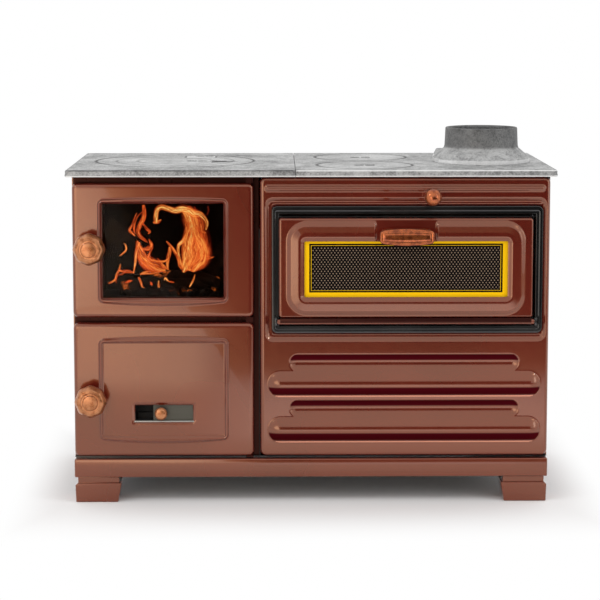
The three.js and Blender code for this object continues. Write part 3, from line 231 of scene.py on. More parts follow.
black_cloth, place = new_finish("black_cloth")
fade = place.along("Y").ramp(-1.55, -1.05, 0.03, 0.80) + place.noise(6.0, 2.0) * 0.02
cloth = place.node("ShaderNodeBsdfDiffuse", {"Color": place.blend(0.0, 1.0, fade)})
place.node("ShaderNodeOutputMaterial", {"Surface": cloth})
lying = [(-110, -1050, 0), (-850, -6000, 0), (3000, -6000, 0), (3000, -1050, 0)]
standing = [(-850, -6000, 0), (3000, -6000, 0), (3000, -6000, 1350), (-850, -6000, 1350)]
for name, corners in (("flag_lying", lying), ("flag_standing", standing)):
    sheet(name, corners, black_cloth, 1.0).visible_camera = False

world = bpy.data.worlds.new("studio")
bpy.context.scene.world = world
sky = cleared(world)
air = sky.node("ShaderNodeBackground", {"Color": (1.0, 1.0, 1.0, 1.0), "Strength": 1.0})
sky.node("ShaderNodeOutputWorld", {"Surface": air})


def soft_box(name, position, aim, width, height, radiance, roll=0.0, tint=(1.0, 1.0, 1.0)):
    """A lamp that looks at a point; its face has the given brightness and fades out at its rim."""
    lamp = bpy.data.lights.new(name, "AREA")
    face = cleared(lamp).node("ShaderNodeNewGeometry", {}, "Parametric")
    across, up = [(face.along(axis) - 0.5).size().fall(0.30, 0.50) for axis in "XY"]
    glow = face.node("ShaderNodeEmission", {"Strength": across * up})
    face.node("ShaderNodeOutputLight", {"Surface": glow})
    lamp.shape = "RECTANGLE"
    lamp.size = width
    lamp.size_y = height
    lamp.energy = radiance * math.pi * width * height
    lamp.color = tint
    stand = stood(name, lamp)
    stand.location = position
    turn = (Vector(aim) - Vector(position)).to_track_quat("-Z", "Y")
    stand.rotation_euler = (turn @ Quaternion((0.0, 0.0, 1.0), math.radians(roll))).to_euler()
    stand.visible_camera = False


WARM = (1.0, 0.80, 0.58)
soft_box("left_box", (-1.02, -2.25, 0.26), (-0.30, -0.4, 0.3), 1.15, 1.25, 2.05, 34.0, WARM)
soft_box("low_box", (-0.45, -1.72, 0.012), (-0.45, -1.719, 1.0), 0.58, 1.45, 1.30, 0.0, WARM)
soft_box("front_box", (0.24, -0.92, 0.012), (0.24, -0.919, 1.0), 0.98, 0.80, 0.70, 0.0, (1.0, 0.90, 0.95))
soft_box("left_spark", (-2.0, -1.5, 2.1), (-0.1, -0.1, 0.3), 0.30, 0.30, 34.0)
soft_box("right_spark", (2.2, -1.5, 2.1), (0.1, -0.1, 0.3), 0.24, 0.24, 34.0)
soft_box("right_box", (2.0, -1.5, 0.7), (0.3, -0.1, 0.4), 0.45, 1.3, 2.2)

CAMERA_TILT = 6.68
CAMERA_TURN = -0.72
camera_data = bpy.data.cameras.new("camera")
camera_data.lens = 118.5
camera_data.sensor_width = 36.0
camera_data.shift_y = -0.10
camera_data.clip_end = 60.0
camera = stood("camera", camera_data)
camera.location = (-0.061, -3.487, 0.840)
camera.rotation_euler = (math.radians(90 - CAMERA_TILT), 0.0, math.radians(CAMERA_TURN))
bpy.context.scene.camera = camera
bpy.context.scene.view_settings.view_transform = "Standard"


# The feet: four blocks pressed from enamelled sheet, narrower at the floor, under a set-back neck.
# Each is folded from one blank and bolted up into the corner of the plinth.
enamel, place = new_finish("copper_brown_enamel")
# The mark carried by pressed sheets paints light into this enamel: positive is painted shade (darker, metallic and
# uncoated), negative is a painted highlight.
pool = place.mark("pool")
painted_shade, painted_highlight = pool.most(0.0), (0.0 - pool).most(0.0)
ENAMEL_BROWN, ENAMEL_LIGHT = (0.094, 0.0070, 0.0042), (0.114, 0.0095, 0.0056)
ENAMEL_PAINTED_SHADE, ENAMEL_PAINTED_HIGHLIGHT = (0.060, 0.0025, 0.0050), (0.80, 0.330, 0.220)
tone = place.blend(ENAMEL_BROWN, ENAMEL_LIGHT, place.noise(5.0, 2.0).ramp(0.35, 0.65))
tone = place.blend(place.blend(tone, ENAMEL_PAINTED_SHADE, painted_shade), ENAMEL_PAINTED_HIGHLIGHT, painted_highlight)
peel = place.noise(330.0, 2.0) * 0.5 + place.noise(28.0, 2.0) * 1.5
coat(
    place, tone, 0.17 + place.noise(70.0, 3.0) * 0.08, (peel, 0.06, 1.0), IOR=2.02, Metallic=painted_shade,
    Specular_Tint=(1.0, 0.49, 0.24, 1.0), Coat_Weight=1.0 - painted_shade, Coat_Roughness=0.03, Coat_IOR=1.46,
)


def slerp(start, end, share):
    """A point on the arc between two radii of the same length."""
    turn = start.angle(end)
    if turn < 1e-6:
        return start.copy()
    return (math.sin((1 - share) * turn) * start + math.sin(share * turn) * end) / math.sin(turn)


def filleted(corners, radii, steps=5, ring=True):
    """The points of an outline whose corners are rounded; radii are one for all or one for each."""
    radii = radii if isinstance(radii, (list, tuple)) else [radii] * len(corners)
    points = []
    for i, corner in enumerate(corners):
        here = Vector(corner)
        if radii[i] <= 0 or (not ring and i in (0, len(corners) - 1)):
            points.append(tuple(here))
            continue
        back = (Vector(corners[i - 1]) - here).normalized()
        on = (Vector(corners[(i + 1) % len(corners)]) - here).normalized()
        half = back.angle(on) / 2
        centre = here + (back + on).normalized() * radii[i] / math.sin(half)
        start = here + back * radii[i] / math.tan(half) - centre
        end = here + on * radii[i] / math.tan(half) - centre
        points += [tuple(centre + slerp(start, end, k / steps)) for k in range(steps + 1)]
    return points


def softened(form, outline_at, profile, capped=True):
    """Skins loops along a profile of (inset, place) pairs and closes both ends flat."""
    loops = [form.loop(outline_at(inset, spot)) for inset, spot in profile]
    form.skin(loops)
    if capped:
        form.fill(loops[0])
        form.fill(loops[-1])
    return loops


def edge_profile(start, end, radius, steps=4):
    """Insets and places of a slab between two planes whose rims are rounded."""
    side = 1 if end > start else -1
    turns = [math.pi / 2 * k / steps for k in range(steps + 1)]
    first = [(radius * (1 - math.sin(t)), start + side * radius * (1 - math.cos(t))) for t in turns]
    last = [(radius * (1 - math.cos(t)), end - side * radius * (1 - math.sin(t))) for t in turns]
    return first + last


def finished(made, body, slot, *nodes):
    """Hangs a piece on its body and hides the solids it stands for; slot, its finish, is not used."""
    if nodes:
        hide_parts(*nodes)
    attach(made, body)


FACE, REAR = -173.0, 211.0
FOOT_OUT, FOOT_IN, FOOT_DEEP, FOOT_NECK, FOOT_TOP = 404.0, 325.0, 62.0, 33.0, 42.7
for end, near in (("front", FACE), ("rear", REAR - FOOT_DEEP)):
    for hand, side in (("left", -1), ("right", 1)):
        form = Form()
        outer, inner = side * FOOT_OUT, side * FOOT_IN
        foot = [(outer - side * 1.0, 0.0), (outer, FOOT_NECK - 4.0), (outer - side * 4.0, FOOT_NECK)]
        foot += [(inner, FOOT_NECK), (inner + side * 6.0, 0.0)]
        neck_out, neck_in = outer - side * 4.5, inner + side * 4.0
        neck = [(neck_out, 30.0), (neck_out, FOOT_TOP), (neck_in, FOOT_TOP), (neck_in, 30.0)]
        for corners, rim, inset in ((foot, 2.0, 0.0), (neck, 0.8, 4.0)):
            middle = Vector((sum(x for x, z in corners), sum(z for x, z in corners))) / len(corners)

            def foot_outline(shrink, y, corners=corners, middle=middle):
                tight = [Vector(c) + (middle - Vector(c)).normalized() * shrink * 1.3 for c in corners]
                return [(x, y, max(z, 0.0)) for x, z in filleted([tuple(c) for c in tight], 1.2, 3)]

            softened(form, foot_outline, edge_profile(near + inset, near + FOOT_DEEP - inset, rim))
        name = f"foot_{end}_{hand}"
        finished(piece(f"pressed_{name}", form, enamel), "cabinet", "enamel", name)


# The plinth: four enamelled rails mitred round the base, standing a little proud of the feet.
# A black base plate lies on them and carries the cabinet.
def oblong(x0, y0, x1, y1):
    """The corners of a rectangle."""
    return [(x0, y0), (x1, y0), (x1, y1), (x0, y1)]


def block(form, low, high, radius, steps=3):
    """A box with every edge rounded."""
    (x0, y0, z0), (x1, y1, z1) = low, high

    def ring(inset, z):
        corners = oblong(x0 + inset, y0 + inset, x1 - inset, y1 - inset)
        return [(x, y, z) for x, y in filleted(corners, max(radius - inset, 0.05), steps)]

    softened(form, ring, edge_profile(z0, z1, radius, steps))


RAIL_LOW, RAIL_HIGH, RAIL_THICK, RAIL_END, RAIL_GAP = 43.0, 75.0, 22.0, 405.0, 22.3
for name, low, high in (
    ("plinth_front", (-RAIL_END, FACE), (RAIL_END, FACE + RAIL_THICK)),
    ("plinth_rear", (-RAIL_END, REAR - RAIL_THICK), (RAIL_END, REAR)),
    ("plinth_left", (-RAIL_END, FACE + RAIL_GAP), (RAIL_THICK - RAIL_END, REAR - RAIL_GAP)),
    ("plinth_right", (RAIL_END - RAIL_THICK, FACE + RAIL_GAP), (RAIL_END, REAR - RAIL_GAP)),
):
    form = Form()
    block(form, (*low, RAIL_LOW), (*high, RAIL_HIGH), 2.2)
    finished(piece(f"enamelled_{name}", form, enamel), "cabinet", "enamel", name)

black_enamel, place = new_finish("black_enamel")
dust = place.noise(14.0, 4.0)
black = place.blend(0.004, (0.010, 0.009, 0.008), dust.ramp(0.4, 0.7))
coat(place, black, 0.16 + dust * 0.12, (place.noise(300.0, 2.0), 0.05, 0.6), Coat_Weight=0.6, Coat_Roughness=0.05)


def dress(finish, *nodes):
    """Gives solids that keep their own shape a finish."""
    for node in nodes:
        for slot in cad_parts[node].material_slots:
            slot.material = finish


dress(black_enamel, "base_plate")


# The cabinet's walls: thin enamelled sheets at the sides, a black sheet at the back,
# and an unpainted partition that keeps the fire away from the oven.
dress(enamel, "side_panel_left", "side_panel_right")
dress(black_enamel, "back_panel")

dark_iron, place = new_finish("heat_dark_iron")
rust = place.noise(22.0, 5.0, 0.6)
tone = place.blend((0.022, 0.021, 0.021), (0.060, 0.044, 0.034), rust.ramp(0.45, 0.7))
coat(place, tone, 0.55 + rust * 0.3, (place.noise(420.0, 3.0, 0.6), 0.5, 0.6), Metallic=0.35)
dress(dark_iron, "partition")

# Dark brown enamel, made near-black as painted shade for the gaps where the front casting, the hinge lugs and the oven
# door's web show.
gap_shade_enamel, place = new_finish("gap_shade_brown_enamel")
coat(
    place, place.blend((0.014, 0.003, 0.003), (0.024, 0.005, 0.004), place.noise(12.0, 3.0)),
    0.22 + place.noise(60.0, 3.0) * 0.14, (place.noise(260.0, 2.0), 0.08, 0.6),
    Specular_IOR_Level=0.28, Specular_Tint=(1.0, 0.40, 0.30, 1.0),
)
dress(gap_shade_enamel, "front_casting", "hinge_lug_top", "hinge_lug_middle", "hinge_lug_bottom")


# The firebox: an iron shelf and grate between three sooty firebricks.
# Charred logs lie on the grate in a bed of embers, and flames lick up from them.
dress(dark_iron, "fire_shelf", "fire_grate", "ash_drawer")
firebrick, place = new_finish("sooty_firebrick")
soot = place.noise(9.0, 4.0, 0.6) + place.along("Z").ramp(0.33, 0.5, 0.0, 0.25)
clay = place.blend((0.115, 0.082, 0.055), (0.012, 0.010, 0.009), soot.ramp(0.40, 0.62))
coat(place, clay, 0.92, (place.noise(260.0, 4.0, 0.7), 0.7, 1.2))
dress(firebrick, "firebrick_left", "firebrick_right", "firebrick_back")

SOCKETS = {float: "NodeSocketFloat", int: "NodeSocketInt", tuple: "NodeSocketVector"}


def grown(name, lay_out, values):
    """A plain mesh made by geometry nodes: lay_out is given the tree's inputs and returns its last socket."""
    tree = bpy.data.node_groups.new(name, "GeometryNodeTree")
    tree.interface.new_socket("Geometry", in_out="OUTPUT", socket_type="NodeSocketGeometry")
    named = {
        label: tree.interface.new_socket(label, in_out="INPUT", socket_type=SOCKETS[type(value)])
        for label, value in values.items()
    }
    entry = tree.nodes.new("NodeGroupInput")
    last = lay_out(Tone(tree), {label: Tone(tree, entry.outputs[label]) for label in values})
    tree.links.new(last.socket, tree.nodes.new("NodeGroupOutput").inputs[0])
    carrier = stood(name + "_carrier", bpy.data.meshes.new(name + "_carrier"))
    grower = carrier.modifiers.new("grow", "NODES")
    grower.node_group = tree
    for label, value in values.items():
        grower[named[label].identifier] = value
    seen_by = bpy.context.evaluated_depsgraph_get()
    mesh = bpy.data.meshes.new_from_object(carrier.evaluated_get(seen_by))
    mesh.name = name
    bpy.data.objects.remove(carrier)
    return stood(name, mesh)


def ember_layout(start, given):
    """Lumps of charcoal strewn over the grate, each one turned and dented in its own way."""
    bed = start.node("GeometryNodeMeshGrid", {"Size X": given["Width"], "Size Y": given["Depth"]})
    strewing = {0: bed, "Density": given["Lumps per area"], "Seed": 7}
    spots = start.node("GeometryNodeDistributePointsOnFaces", strewing)
    lump = start.node("GeometryNodeMeshIcoSphere", {"Radius": given["Lump size"], "Subdivisions": 3})
    turn, size = [
        start.node("FunctionNodeRandomValue", {0: low, 1: high, "Seed": seed}, data_type="FLOAT_VECTOR")
        for low, high, seed in (((0, 0, 0), (6.2, 6.2, 6.2), 3), ((0.6, 0.5, 0.4), (1.5, 1.1, 0.9), 5))
    ]
    lumps = {"Points": spots, "Instance": lump, "Rotation": turn, "Scale": size}
    real = start.node("GeometryNodeRealizeInstances", {0: start.node("GeometryNodeInstanceOnPoints", lumps)})
    where = start.node("GeometryNodeInputPosition", {})
    dents = start.node("ShaderNodeTexNoise", {"Vector": where, "Scale": 95.0, "Detail": 3.0}, 1)
    dents = start.node("ShaderNodeVectorMath", {0: dents, 1: (0.5, 0.5, 0.5)}, operation="SUBTRACT")
    dents = start.node("ShaderNodeVectorMath", {0: dents, "Scale": given["Dents"]}, operation="SCALE")
    rough = start.node("GeometryNodeSetPosition", {0: real, "Offset": dents})
    placed = start.node("GeometryNodeTransform", {0: rough, "Translation": given["Middle"]})
    return start.node("GeometryNodeSetMaterial", {0: placed, "Material": charcoal})


charcoal, place = new_finish("glowing_charcoal")
cracks = place.noise(75.0, 4.0, 0.6)
heat = (1.0 - ((cracks - 0.5).size() * 12.0).least(1.0)) * place.noise(26.0, 2.0).ramp(0.63, 0.74)
coat(
    place, place.blend((0.010, 0.009, 0.008), (0.045, 0.036, 0.030), place.noise(40.0, 4.0).ramp(0.45, 0.75)),
    0.9, (place.noise(300.0, 4.0), 0.8, 1.0),
    Emission_Color=place.blend(0.0, (1.0, 0.20, 0.03), heat), Emission_Strength=1.0,
)
bed = {"Width": 0.165, "Depth": 0.185, "Lumps per area": 3600.0, "Lump size": 0.011, "Dents": 0.009}
embers = grown("ember_bed", ember_layout, {**bed, "Middle": (-0.246, 0.028, 0.338)})
finished(embers, "cabinet", "firebrick")


def through(points, steps=6):
    """A smooth line of tuples that passes through all the given ones."""
    line = []
    for i in range(len(points) - 1):
        p0, p1, p2, p3 = points[max(i - 1, 0)], points[i], points[i + 1], points[min(i + 2, len(points) - 1)]
        for k in range(steps):
            t = k / steps
            spot = [
                b + t * (c - a + t * (2 * a - 5 * b + 4 * c - d + t * (3 * b - a - 3 * c + d))) / 2
                for a, b, c, d in zip(p0, p1, p2, p3)
            ]
            line.append(tuple(spot))
    return line + [tuple(points[-1])]


form = Form()
for path in (
    [(-338, 5, 344, 12), (-290, 12, 349, 13), (-232, 20, 347, 13), (-176, 24, 352, 11)],
    [(-318, 90, 346, 12), (-262, 62, 356, 13), (-204, 30, 362, 12), (-160, -6, 354, 9)],
):
    rings = []
    for x, y, z, radius in through(path, 8):
        ring = []
        for a in (k * math.pi / 12 for k in range(24)):
            bark = radius * (1 + 0.16 * noise.noise((x / 9, 5.0 * math.cos(a), 5.0 * math.sin(a))))
            ring.append((x, y + bark * math.cos(a), z + bark * math.sin(a)))
        rings.append(form.loop(ring))
    form.skin(rings)
    form.fill(rings[0])
    form.fill(rings[-1])
finished(piece("charred_logs", form, charcoal), "cabinet", "firebrick")

flame, place = new_finish("flame")
edge, hot, flow = place.mark("edge"), place.mark("warmth"), place.mark("flow", "Vector")
strand = (1.0 - (flow.stretched(1.3, 0.40, 1.0).noise(1.1, 3.0, 0.5, 1.2) - 0.5).size() * 6.0).most(0.0)
veil = flow.stretched(1.2, 0.30, 1.0).noise(1.3, 3.0, 0.6, 0.5).ramp(0.32, 0.66)
glow = (1.0 - edge * edge) * hot * (0.26 + veil * 0.62 + strand * 0.26)
shade = place.blend((0.42, 0.030, 0.008), (0.85, 0.115, 0.020), glow.ramp(0.10, 0.34))
shade = place.blend(shade, (1.0, 0.30, 0.055), glow.ramp(0.32, 0.60))
shade = place.blend(shade, (1.0, 0.66, 0.20), glow.ramp(0.62, 0.98))
veiled = ((1.0 - edge).ramp(0.0, 0.6) * (0.16 + veil * 0.62 + strand * 0.42)).least(1.0) * hot.ramp(0.05, 0.30)
coat(
    place, (0.0, 0.0, 0.0, 1.0), 1.0,
    Specular_IOR_Level=0.0, Emission_Color=shade, Emission_Strength=1.15, Alpha=veiled,
)
# How warm each tongue is, then its places one by one: across, up, half width.
TONGUES = (
    (1.0, -269, 469, 3.3, -269, 480, 3.9, -267, 492, 4.2, -259, 497, 4.5, -247, 494, 4.8, -235, 491, 5.4, -223, 494,
     6.6, -211, 491, 7.2, -202, 485, 6.9, -192, 484, 5.1, -184, 477, 3.6, -180, 468, 2.7, -182, 457, 1.2),
    (0.7, -260, 474, 1.2, -266, 470, 3, -272, 469, 2.1, -275, 470, 0.6),
    (0.82, -219, 494, 8, -211, 479, 13, -207, 463, 13, -210, 448, 11, -214, 435, 10, -214, 420, 11, -215, 405, 11,
     -219, 390, 8, -223, 380, 2.4),
    (0.55, -208, 488, 9, -202, 470, 15, -199, 450, 18, -198, 430, 21, -200, 412, 23, -205, 396, 18, -212, 382, 6),
    (0.75, -229, 402, 1, -226, 390, 2.2, -219, 383, 2.6, -209, 382, 2, -202, 386, 0.8),
    (0.7, -205, 470, 1, -203, 455, 2, -205, 440, 2.2, -208, 425, 2, -206, 408, 1),
    (0.65, -193, 440, 1, -195, 425, 2.4, -199, 411, 2.4, -205, 399, 1.8, -212, 390, 0.8),
    (0.58, -304, 436, 2, -299, 420, 7, -292, 405, 10, -280, 394, 12, -266, 388, 9, -254, 384, 2),
    (0.9, -215, 450, 2.1, -223, 435, 3.3, -231, 427, 3, -232, 415, 2.4, -229, 399, 2.4, -224, 385, 1.2),
    (0.9, -197, 472, 1.5, -198, 462, 2.4, -194, 453, 2.4, -186, 448, 1.8, -183, 448, 0.6),
    (0.7, -204, 463, 5.5, -197, 447, 9, -190, 432, 11, -186, 417, 12.5, -188, 405, 12, -197, 394, 9, -206, 384, 2.4),
    (0.5, -197, 409, 4.5, -183, 407, 4.5, -173, 407, 2.1, -168, 409, 0.5),
    (0.6, -252, 435, 0.9, -245, 427, 2.4, -238, 417, 3, -232, 405, 2.7, -230, 393, 1.8, -226, 385, 0.9),
    (0.7, -247, 424, 1.8, -247, 415, 3.3, -250, 403, 3.3, -251, 393, 2.4, -250, 384, 0.9),
    (0.6, -269, 403, 0.9, -263, 394, 2.4, -256, 387, 2.7, -249, 382, 0.9),
    (0.6, -278, 405, 0.9, -266, 402, 2.1, -254, 402, 2.1, -247, 408, 0.9),
    (0.5, -291, 500, 2.7, -290, 489, 3.6, -291, 477, 3.9, -297, 465, 4.2, -301, 454, 3.9, -297, 445, 3.3, -289, 438,
     2.4, -284, 434, 0.6),
    (0.5, -293, 466, 1.2, -286, 457, 2.7, -281, 452, 2.1, -284, 448, 0.8),
    (0.5, -304, 484, 0.8, -309, 472, 1.8, -312, 463, 2.1, -317, 454, 2.7, -312, 448, 2.4, -307, 443, 0.6),
    (0.4, -295, 485, 0.6, -303, 477, 1.2, -307, 468, 1.5, -310, 456, 2.1, -308, 446, 0.8),
    (0.75, -297, 435, 1.2, -301, 427, 3, -304, 417, 3.3, -305, 408, 2.7, -306, 396, 2.1, -309, 381, 0.9),
    (0.5, -282, 440, 0.9, -278, 429, 3.9, -284, 423, 4.5, -294, 423, 1.2),
    (0.5, -276, 424, 0.9, -281, 414, 2.1, -284, 405, 2.4, -281, 397, 2.1, -275, 393, 0.8),
    (0.4, -303, 408, 2.1, -295, 396, 6, -284, 388, 8.1, -274, 385, 7.5, -264, 383, 1.8),
    (0.7, -300, 374, 1.2, -291, 377, 3.3, -278, 377, 3, -265, 379, 0.8),
    (0.6, -300, 374, 1.8, -296, 365, 2.3, -294, 358, 1.5, -290, 355, 0.5),
    (0.55, -308, 380, 0.9, -318, 383, 3, -327, 383, 3, -335, 384, 1.2),
    (0.7, -333, 395, 0.6, -335, 385, 1.8, -340, 376, 1.8, -343, 367, 1.5, -351, 362, 1.8, -355, 361, 0.8),
    (0.7, -328, 431, 0.5, -324, 426, 1.5, -324, 418, 1.8, -330, 412, 1.5, -335, 408, 0.5),
    (0.9, -203, 374, 0.6, -207, 362, 1.8, -213, 351, 0.8),
    (1.0, -265, 368, 0.6, -265, 363, 1.9, -265, 358, 2.3, -265, 355, 1),
    (0.8, -256, 367, 0.5, -254, 371, 1.6, -251, 368, 1.6, -248, 365, 0.4),
    (0.5, -249, 364, 0.6, -244, 363, 1.6, -239, 362, 0.6),
    (0.35, -327, 360, 0.8, -320, 363, 2.4, -313, 364, 0.8),
    (0.35, -282, 361, 0.8, -280, 357, 2.2, -279, 354, 0.6),
    (0.5, -322, 385, 0.4, -329, 379, 1.4, -336, 378, 1.6, -340, 370, 1.8, -339, 364, 0.6),
    (0.2, -202, 497, 0.6, -200, 491, 1.4, -195, 484, 0.6),
    (0.2, -179, 497, 0.6, -178, 489, 1.4, -181, 481, 0.6),
)
form, edges, heats, flows = Form(), [], [], []
for number, (warmth, *path) in enumerate(TONGUES):
    line, strips, run = through(list(zip(path[::3], path[1::3], path[2::3]))), [], 0.0
    depth = -62.0 + 9.0 * (number % 5)
    for i, (x, z, half) in enumerate(line):
        before, after = line[max(i - 1, 0)], line[min(i + 1, len(line) - 1)]
        dx, dz = after[0] - before[0], after[1] - before[1]
        reach = math.hypot(dx, dz) or 1.0
        run += math.hypot(x - before[0], z - before[1])
        strip = []
        for k in range(9):
            across = k / 4 - 1
            wide = max(half, 0.3) * 1.3 * across
            bow = 3.0 * (1 - across * across) * min(half / 4, 1)
            strip.append((x - dz / reach * wide, depth - bow, z + dx / reach * wide))
            edges.append(abs(across))
            heats.append(warmth)
            flows += [across * half * 0.35, run * 0.12, number * 3.7]
        strips.append(form.loop(strip))
    form.skin(strips, ring=False)
flames = stood("flames", skinned("flames", form, flame, edge=edges, warmth=heats, flow=flows))
finished(flames, "cabinet", "firebrick")


# The fire door: a pan pressed from sheet with a bead round its window, enamelled copper brown,
# with a heat-proof pane held against it by a casting, and a rope seal behind.
def swell(t):
    """A soft hump, one at the middle and zero from one out."""
    return (1 + math.cos(math.pi * min(abs(t), 1.0))) / 2


def slope(t):
    """A soft step from zero to one."""
    return (1 - math.cos(math.pi * min(max(t, 0.0), 1.0))) / 2


def bent(t, stops, soft=1.0):
    """The height of a folded profile, given as (distance, height) pairs, with its bends softened."""
    total = 0.0
    for k in range(-3, 4):
        spot = t + soft * k / 3
        height = stops[0][1] if spot < stops[0][0] else stops[-1][1]
        for (d0, h0), (d1, h1) in zip(stops, stops[1:]):
            if d0 <= spot <= d1:
                height = h0 + (h1 - h0) * (spot - d0) / (d1 - d0)
        total += height / 7
    return total


def from_frame(x, z, low_x, high_x, low_z, high_z, radius):
    """How far a point lies outside a rectangle with round corners; negative inside."""
    across = abs(x - (low_x + high_x) / 2) - (high_x - low_x) / 2 + radius
    up = abs(z - (low_z + high_z) / 2) - (high_z - low_z) / 2 + radius
    return math.hypot(max(across, 0.0), max(up, 0.0)) + min(max(across, up), 0.0) - radius


def marks_between(low, high, coarse, dense):
    """Places from low to high, a coarse step apart but closer in the dense spans (low, high, step)."""
    marks = []
    for start, stop, step in dense:
        count = max(1, math.ceil((stop - start) / step))
        marks += [start + (stop - start) * k / count for k in range(count + 1)]
    count = math.ceil((high - low) / coarse)
    for k in range(count + 1):
        spot = low + (high - low) * k / count
        if all(abs(spot - m) > coarse / 3 for m in marks):
            marks.append(spot)
    return marks


class Pressing:
    """A sheet pressed to a relief, with its rim folded back: a grid of lines over its face and rim.
    Its corners and the fold of its rim are rounded, and the rim reaches back by its depth."""

    def __init__(self, outline, face, corner, edge, depth, coarse):
        self.outline = outline
        self.face = face
        self.corner = corner
        self.edge = edge
        self.depth = depth
        self.coarse = coarse
        self.flat = corner - edge
        self.holes = []

    def back_at(self, back):
        """How far past the start of the corner the sheet lies this far behind its face."""
        if back < self.edge:
            return self.flat + self.edge * math.acos(1 - back / self.edge)
        return self.flat + self.edge * math.pi / 2 + back - self.edge

    def section(self, run):
        """How far out and how far back the sheet lies, this far past the start of the corner."""
        if run <= self.flat:
            return run, 0.0
        turn = (run - self.flat) / self.edge
        if turn <= math.pi / 2:
            return self.flat + self.edge * math.sin(turn), self.edge * (1 - math.cos(turn))
        return self.corner, self.edge + (turn - math.pi / 2) * self.edge

    def hole(self, low_x, high_x, low_z, high_z, radius):
        self.holes.append((low_x, high_x, low_z, high_z, radius))

    def lines(self, axis, dense):
        """All grid lines along one axis: the rim's, the holes' and the face's own."""
        low, high = self.outline[2 * axis: 2 * axis + 2]
        rim = [self.back_at(self.edge * (1 - math.cos(math.pi / 2 * k / 6))) for k in range(1, 7)]
        rim += [0.0, self.flat]
        rim += [self.back_at(self.edge + (self.depth - self.edge) * k / 3) for k in range(1, 4)]
        wanted = [low + self.corner - r for r in rim] + [high - self.corner + r for r in rim]
        for *sides, radius in self.holes:
            start, stop = sides[2 * axis: 2 * axis + 2]
            steps = 5 if radius > 3 else 2
            for k in range(steps + 1):
                wanted += [start + radius * k / steps, stop - radius * k / steps]
        kept = sorted(set(round(w, 4) for w in wanted))
        for mark in marks_between(low, high, self.coarse[axis], dense):
            if all(abs(mark - k) > 0.3 for k in kept):
                kept.append(mark)
        return sorted(kept)

    def form(self, dense_x, dense_z, relief, shift=None, pooled=None, closed=False):
        """The points, faces and painted shade and highlights of the pressed sheet, whose grid is finer in the dense
        spans.
        """
        x0, x1, z0, z1 = self.outline
        lines_x, lines_z = self.lines(0, dense_x), self.lines(1, dense_z)
        form, painted_lights, at = Form(), [], {}
        for i, u in enumerate(lines_x):
            for j, v in enumerate(lines_z):
                x, z = self.snapped(u, v)
                over_x = max(x0 + self.corner - x, x - (x1 - self.corner), 0.0)
                over_z = max(z0 + self.corner - z, z - (z1 - self.corner), 0.0)
                run = max(over_x, over_z)
                out, back = self.section(run)
                if run > 0:
                    turn = math.pi / 4 * min(over_x, over_z) / run
                    reach = (out * math.cos(turn), out * math.sin(turn))
                    step_x, step_z = reach if over_x >= over_z else (reach[1], reach[0])
                    if over_x > 0:
                        x = x1 - self.corner + step_x if x > (x0 + x1) / 2 else x0 + self.corner - step_x
                    if over_z > 0:
                        z = z1 - self.corner + step_z if z > (z0 + z1) / 2 else z0 + self.corner - step_z
                rise = relief(x, z)
                # Downward-facing parts of the sheet get painted shade, scaled by the given function.
                lean = (relief(x, z + 0.6) - relief(x, z - 0.6)) / 1.2 if pooled else 0.0
                painted_lights.append(slope((lean - 0.13) / 0.08) * pooled(x, z) if pooled else 0.0)
                lift = shift(x, z) if shift else 0.0
                at[i, j] = len(form.points)
                form.points.append((x, self.face + back - rise, z + lift))
        last_x, last_z = len(lines_x) - 1, len(lines_z) - 1
        for i in range(last_x):
            for j in range(last_z):
                u, v = (lines_x[i] + lines_x[i + 1]) / 2, (lines_z[j] + lines_z[j + 1]) / 2
                if not any(h[0] < u < h[1] and h[2] < v < h[3] for h in self.holes):
                    form.faces.append((at[i, j], at[i + 1, j], at[i + 1, j + 1], at[i, j + 1]))
        if closed:
            rim = [at[i, 0] for i in range(last_x)] + [at[last_x, j] for j in range(last_z)]
            rim += [at[i, last_z] for i in range(last_x, 0, -1)] + [at[0, j] for j in range(last_z, 0, -1)]
            form.faces.append(tuple(rim))
        return form, painted_lights

    def snapped(self, u, v):
        """Moves a grid point on a hole's edge to the hole's round corner."""
        for x0, x1, z0, z1, radius in self.holes:
            on_x = min(abs(u - x0), abs(u - x1)) < 0.01 and z0 - 0.01 <= v <= z1 + 0.01
            on_z = min(abs(v - z0), abs(v - z1)) < 0.01 and x0 - 0.01 <= u <= x1 + 0.01
            near_x, near_z = min(u - x0, x1 - u), min(v - z0, z1 - v)
            if radius > 0 and ((on_x and near_z < radius) or (on_z and near_x < radius)):
                turn = math.pi / 4 * (1 - near_z / radius) if on_x else math.pi / 4 * (1 + near_x / radius)
                across, up = radius * (1 - math.cos(turn)), radius * (1 - math.sin(turn))
                x = x0 + across if u < (x0 + x1) / 2 else x1 - across
                return x, z0 + up if v < (z0 + z1) / 2 else z1 - up
        return u, v


SHEET = 1.7


def pressed(name, pressing, dense, relief, body, node, finish=(enamel, "enamel"), thickness=SHEET, **options):
    """A pressed sheet as a piece, given its thickness inwards."""
    form, painted_lights = pressing.form(*dense, relief, **options)
    # Enamelled sheets carry their painted shade and highlights as a mark on their points.
    coloured = {"pool": painted_lights} if finish[0] is enamel else {}
    made = piece(name, form, finish[0], closed=False, **coloured)
    wall = made.modifiers.new("wall", "SOLIDIFY")
    wall.thickness = thickness * MM
    wall.offset = -1.0
    wall.use_even_offset = True
    finished(made, body, finish[1], node)


BEAD_HALF, BEAD_RISE, BEAD_CORNER = 4.25, 4.0, 5.75
BEAD_LEFT, BEAD_RIGHT = -362.0, -140.0
DOOR_LEFT, DOOR_RIGHT = -404.0, -98.0
LATCH_X, LATCH_HOLE, HINGE_X, HINGE_HALF = -373.0, 5.8, -105.0, 3.6


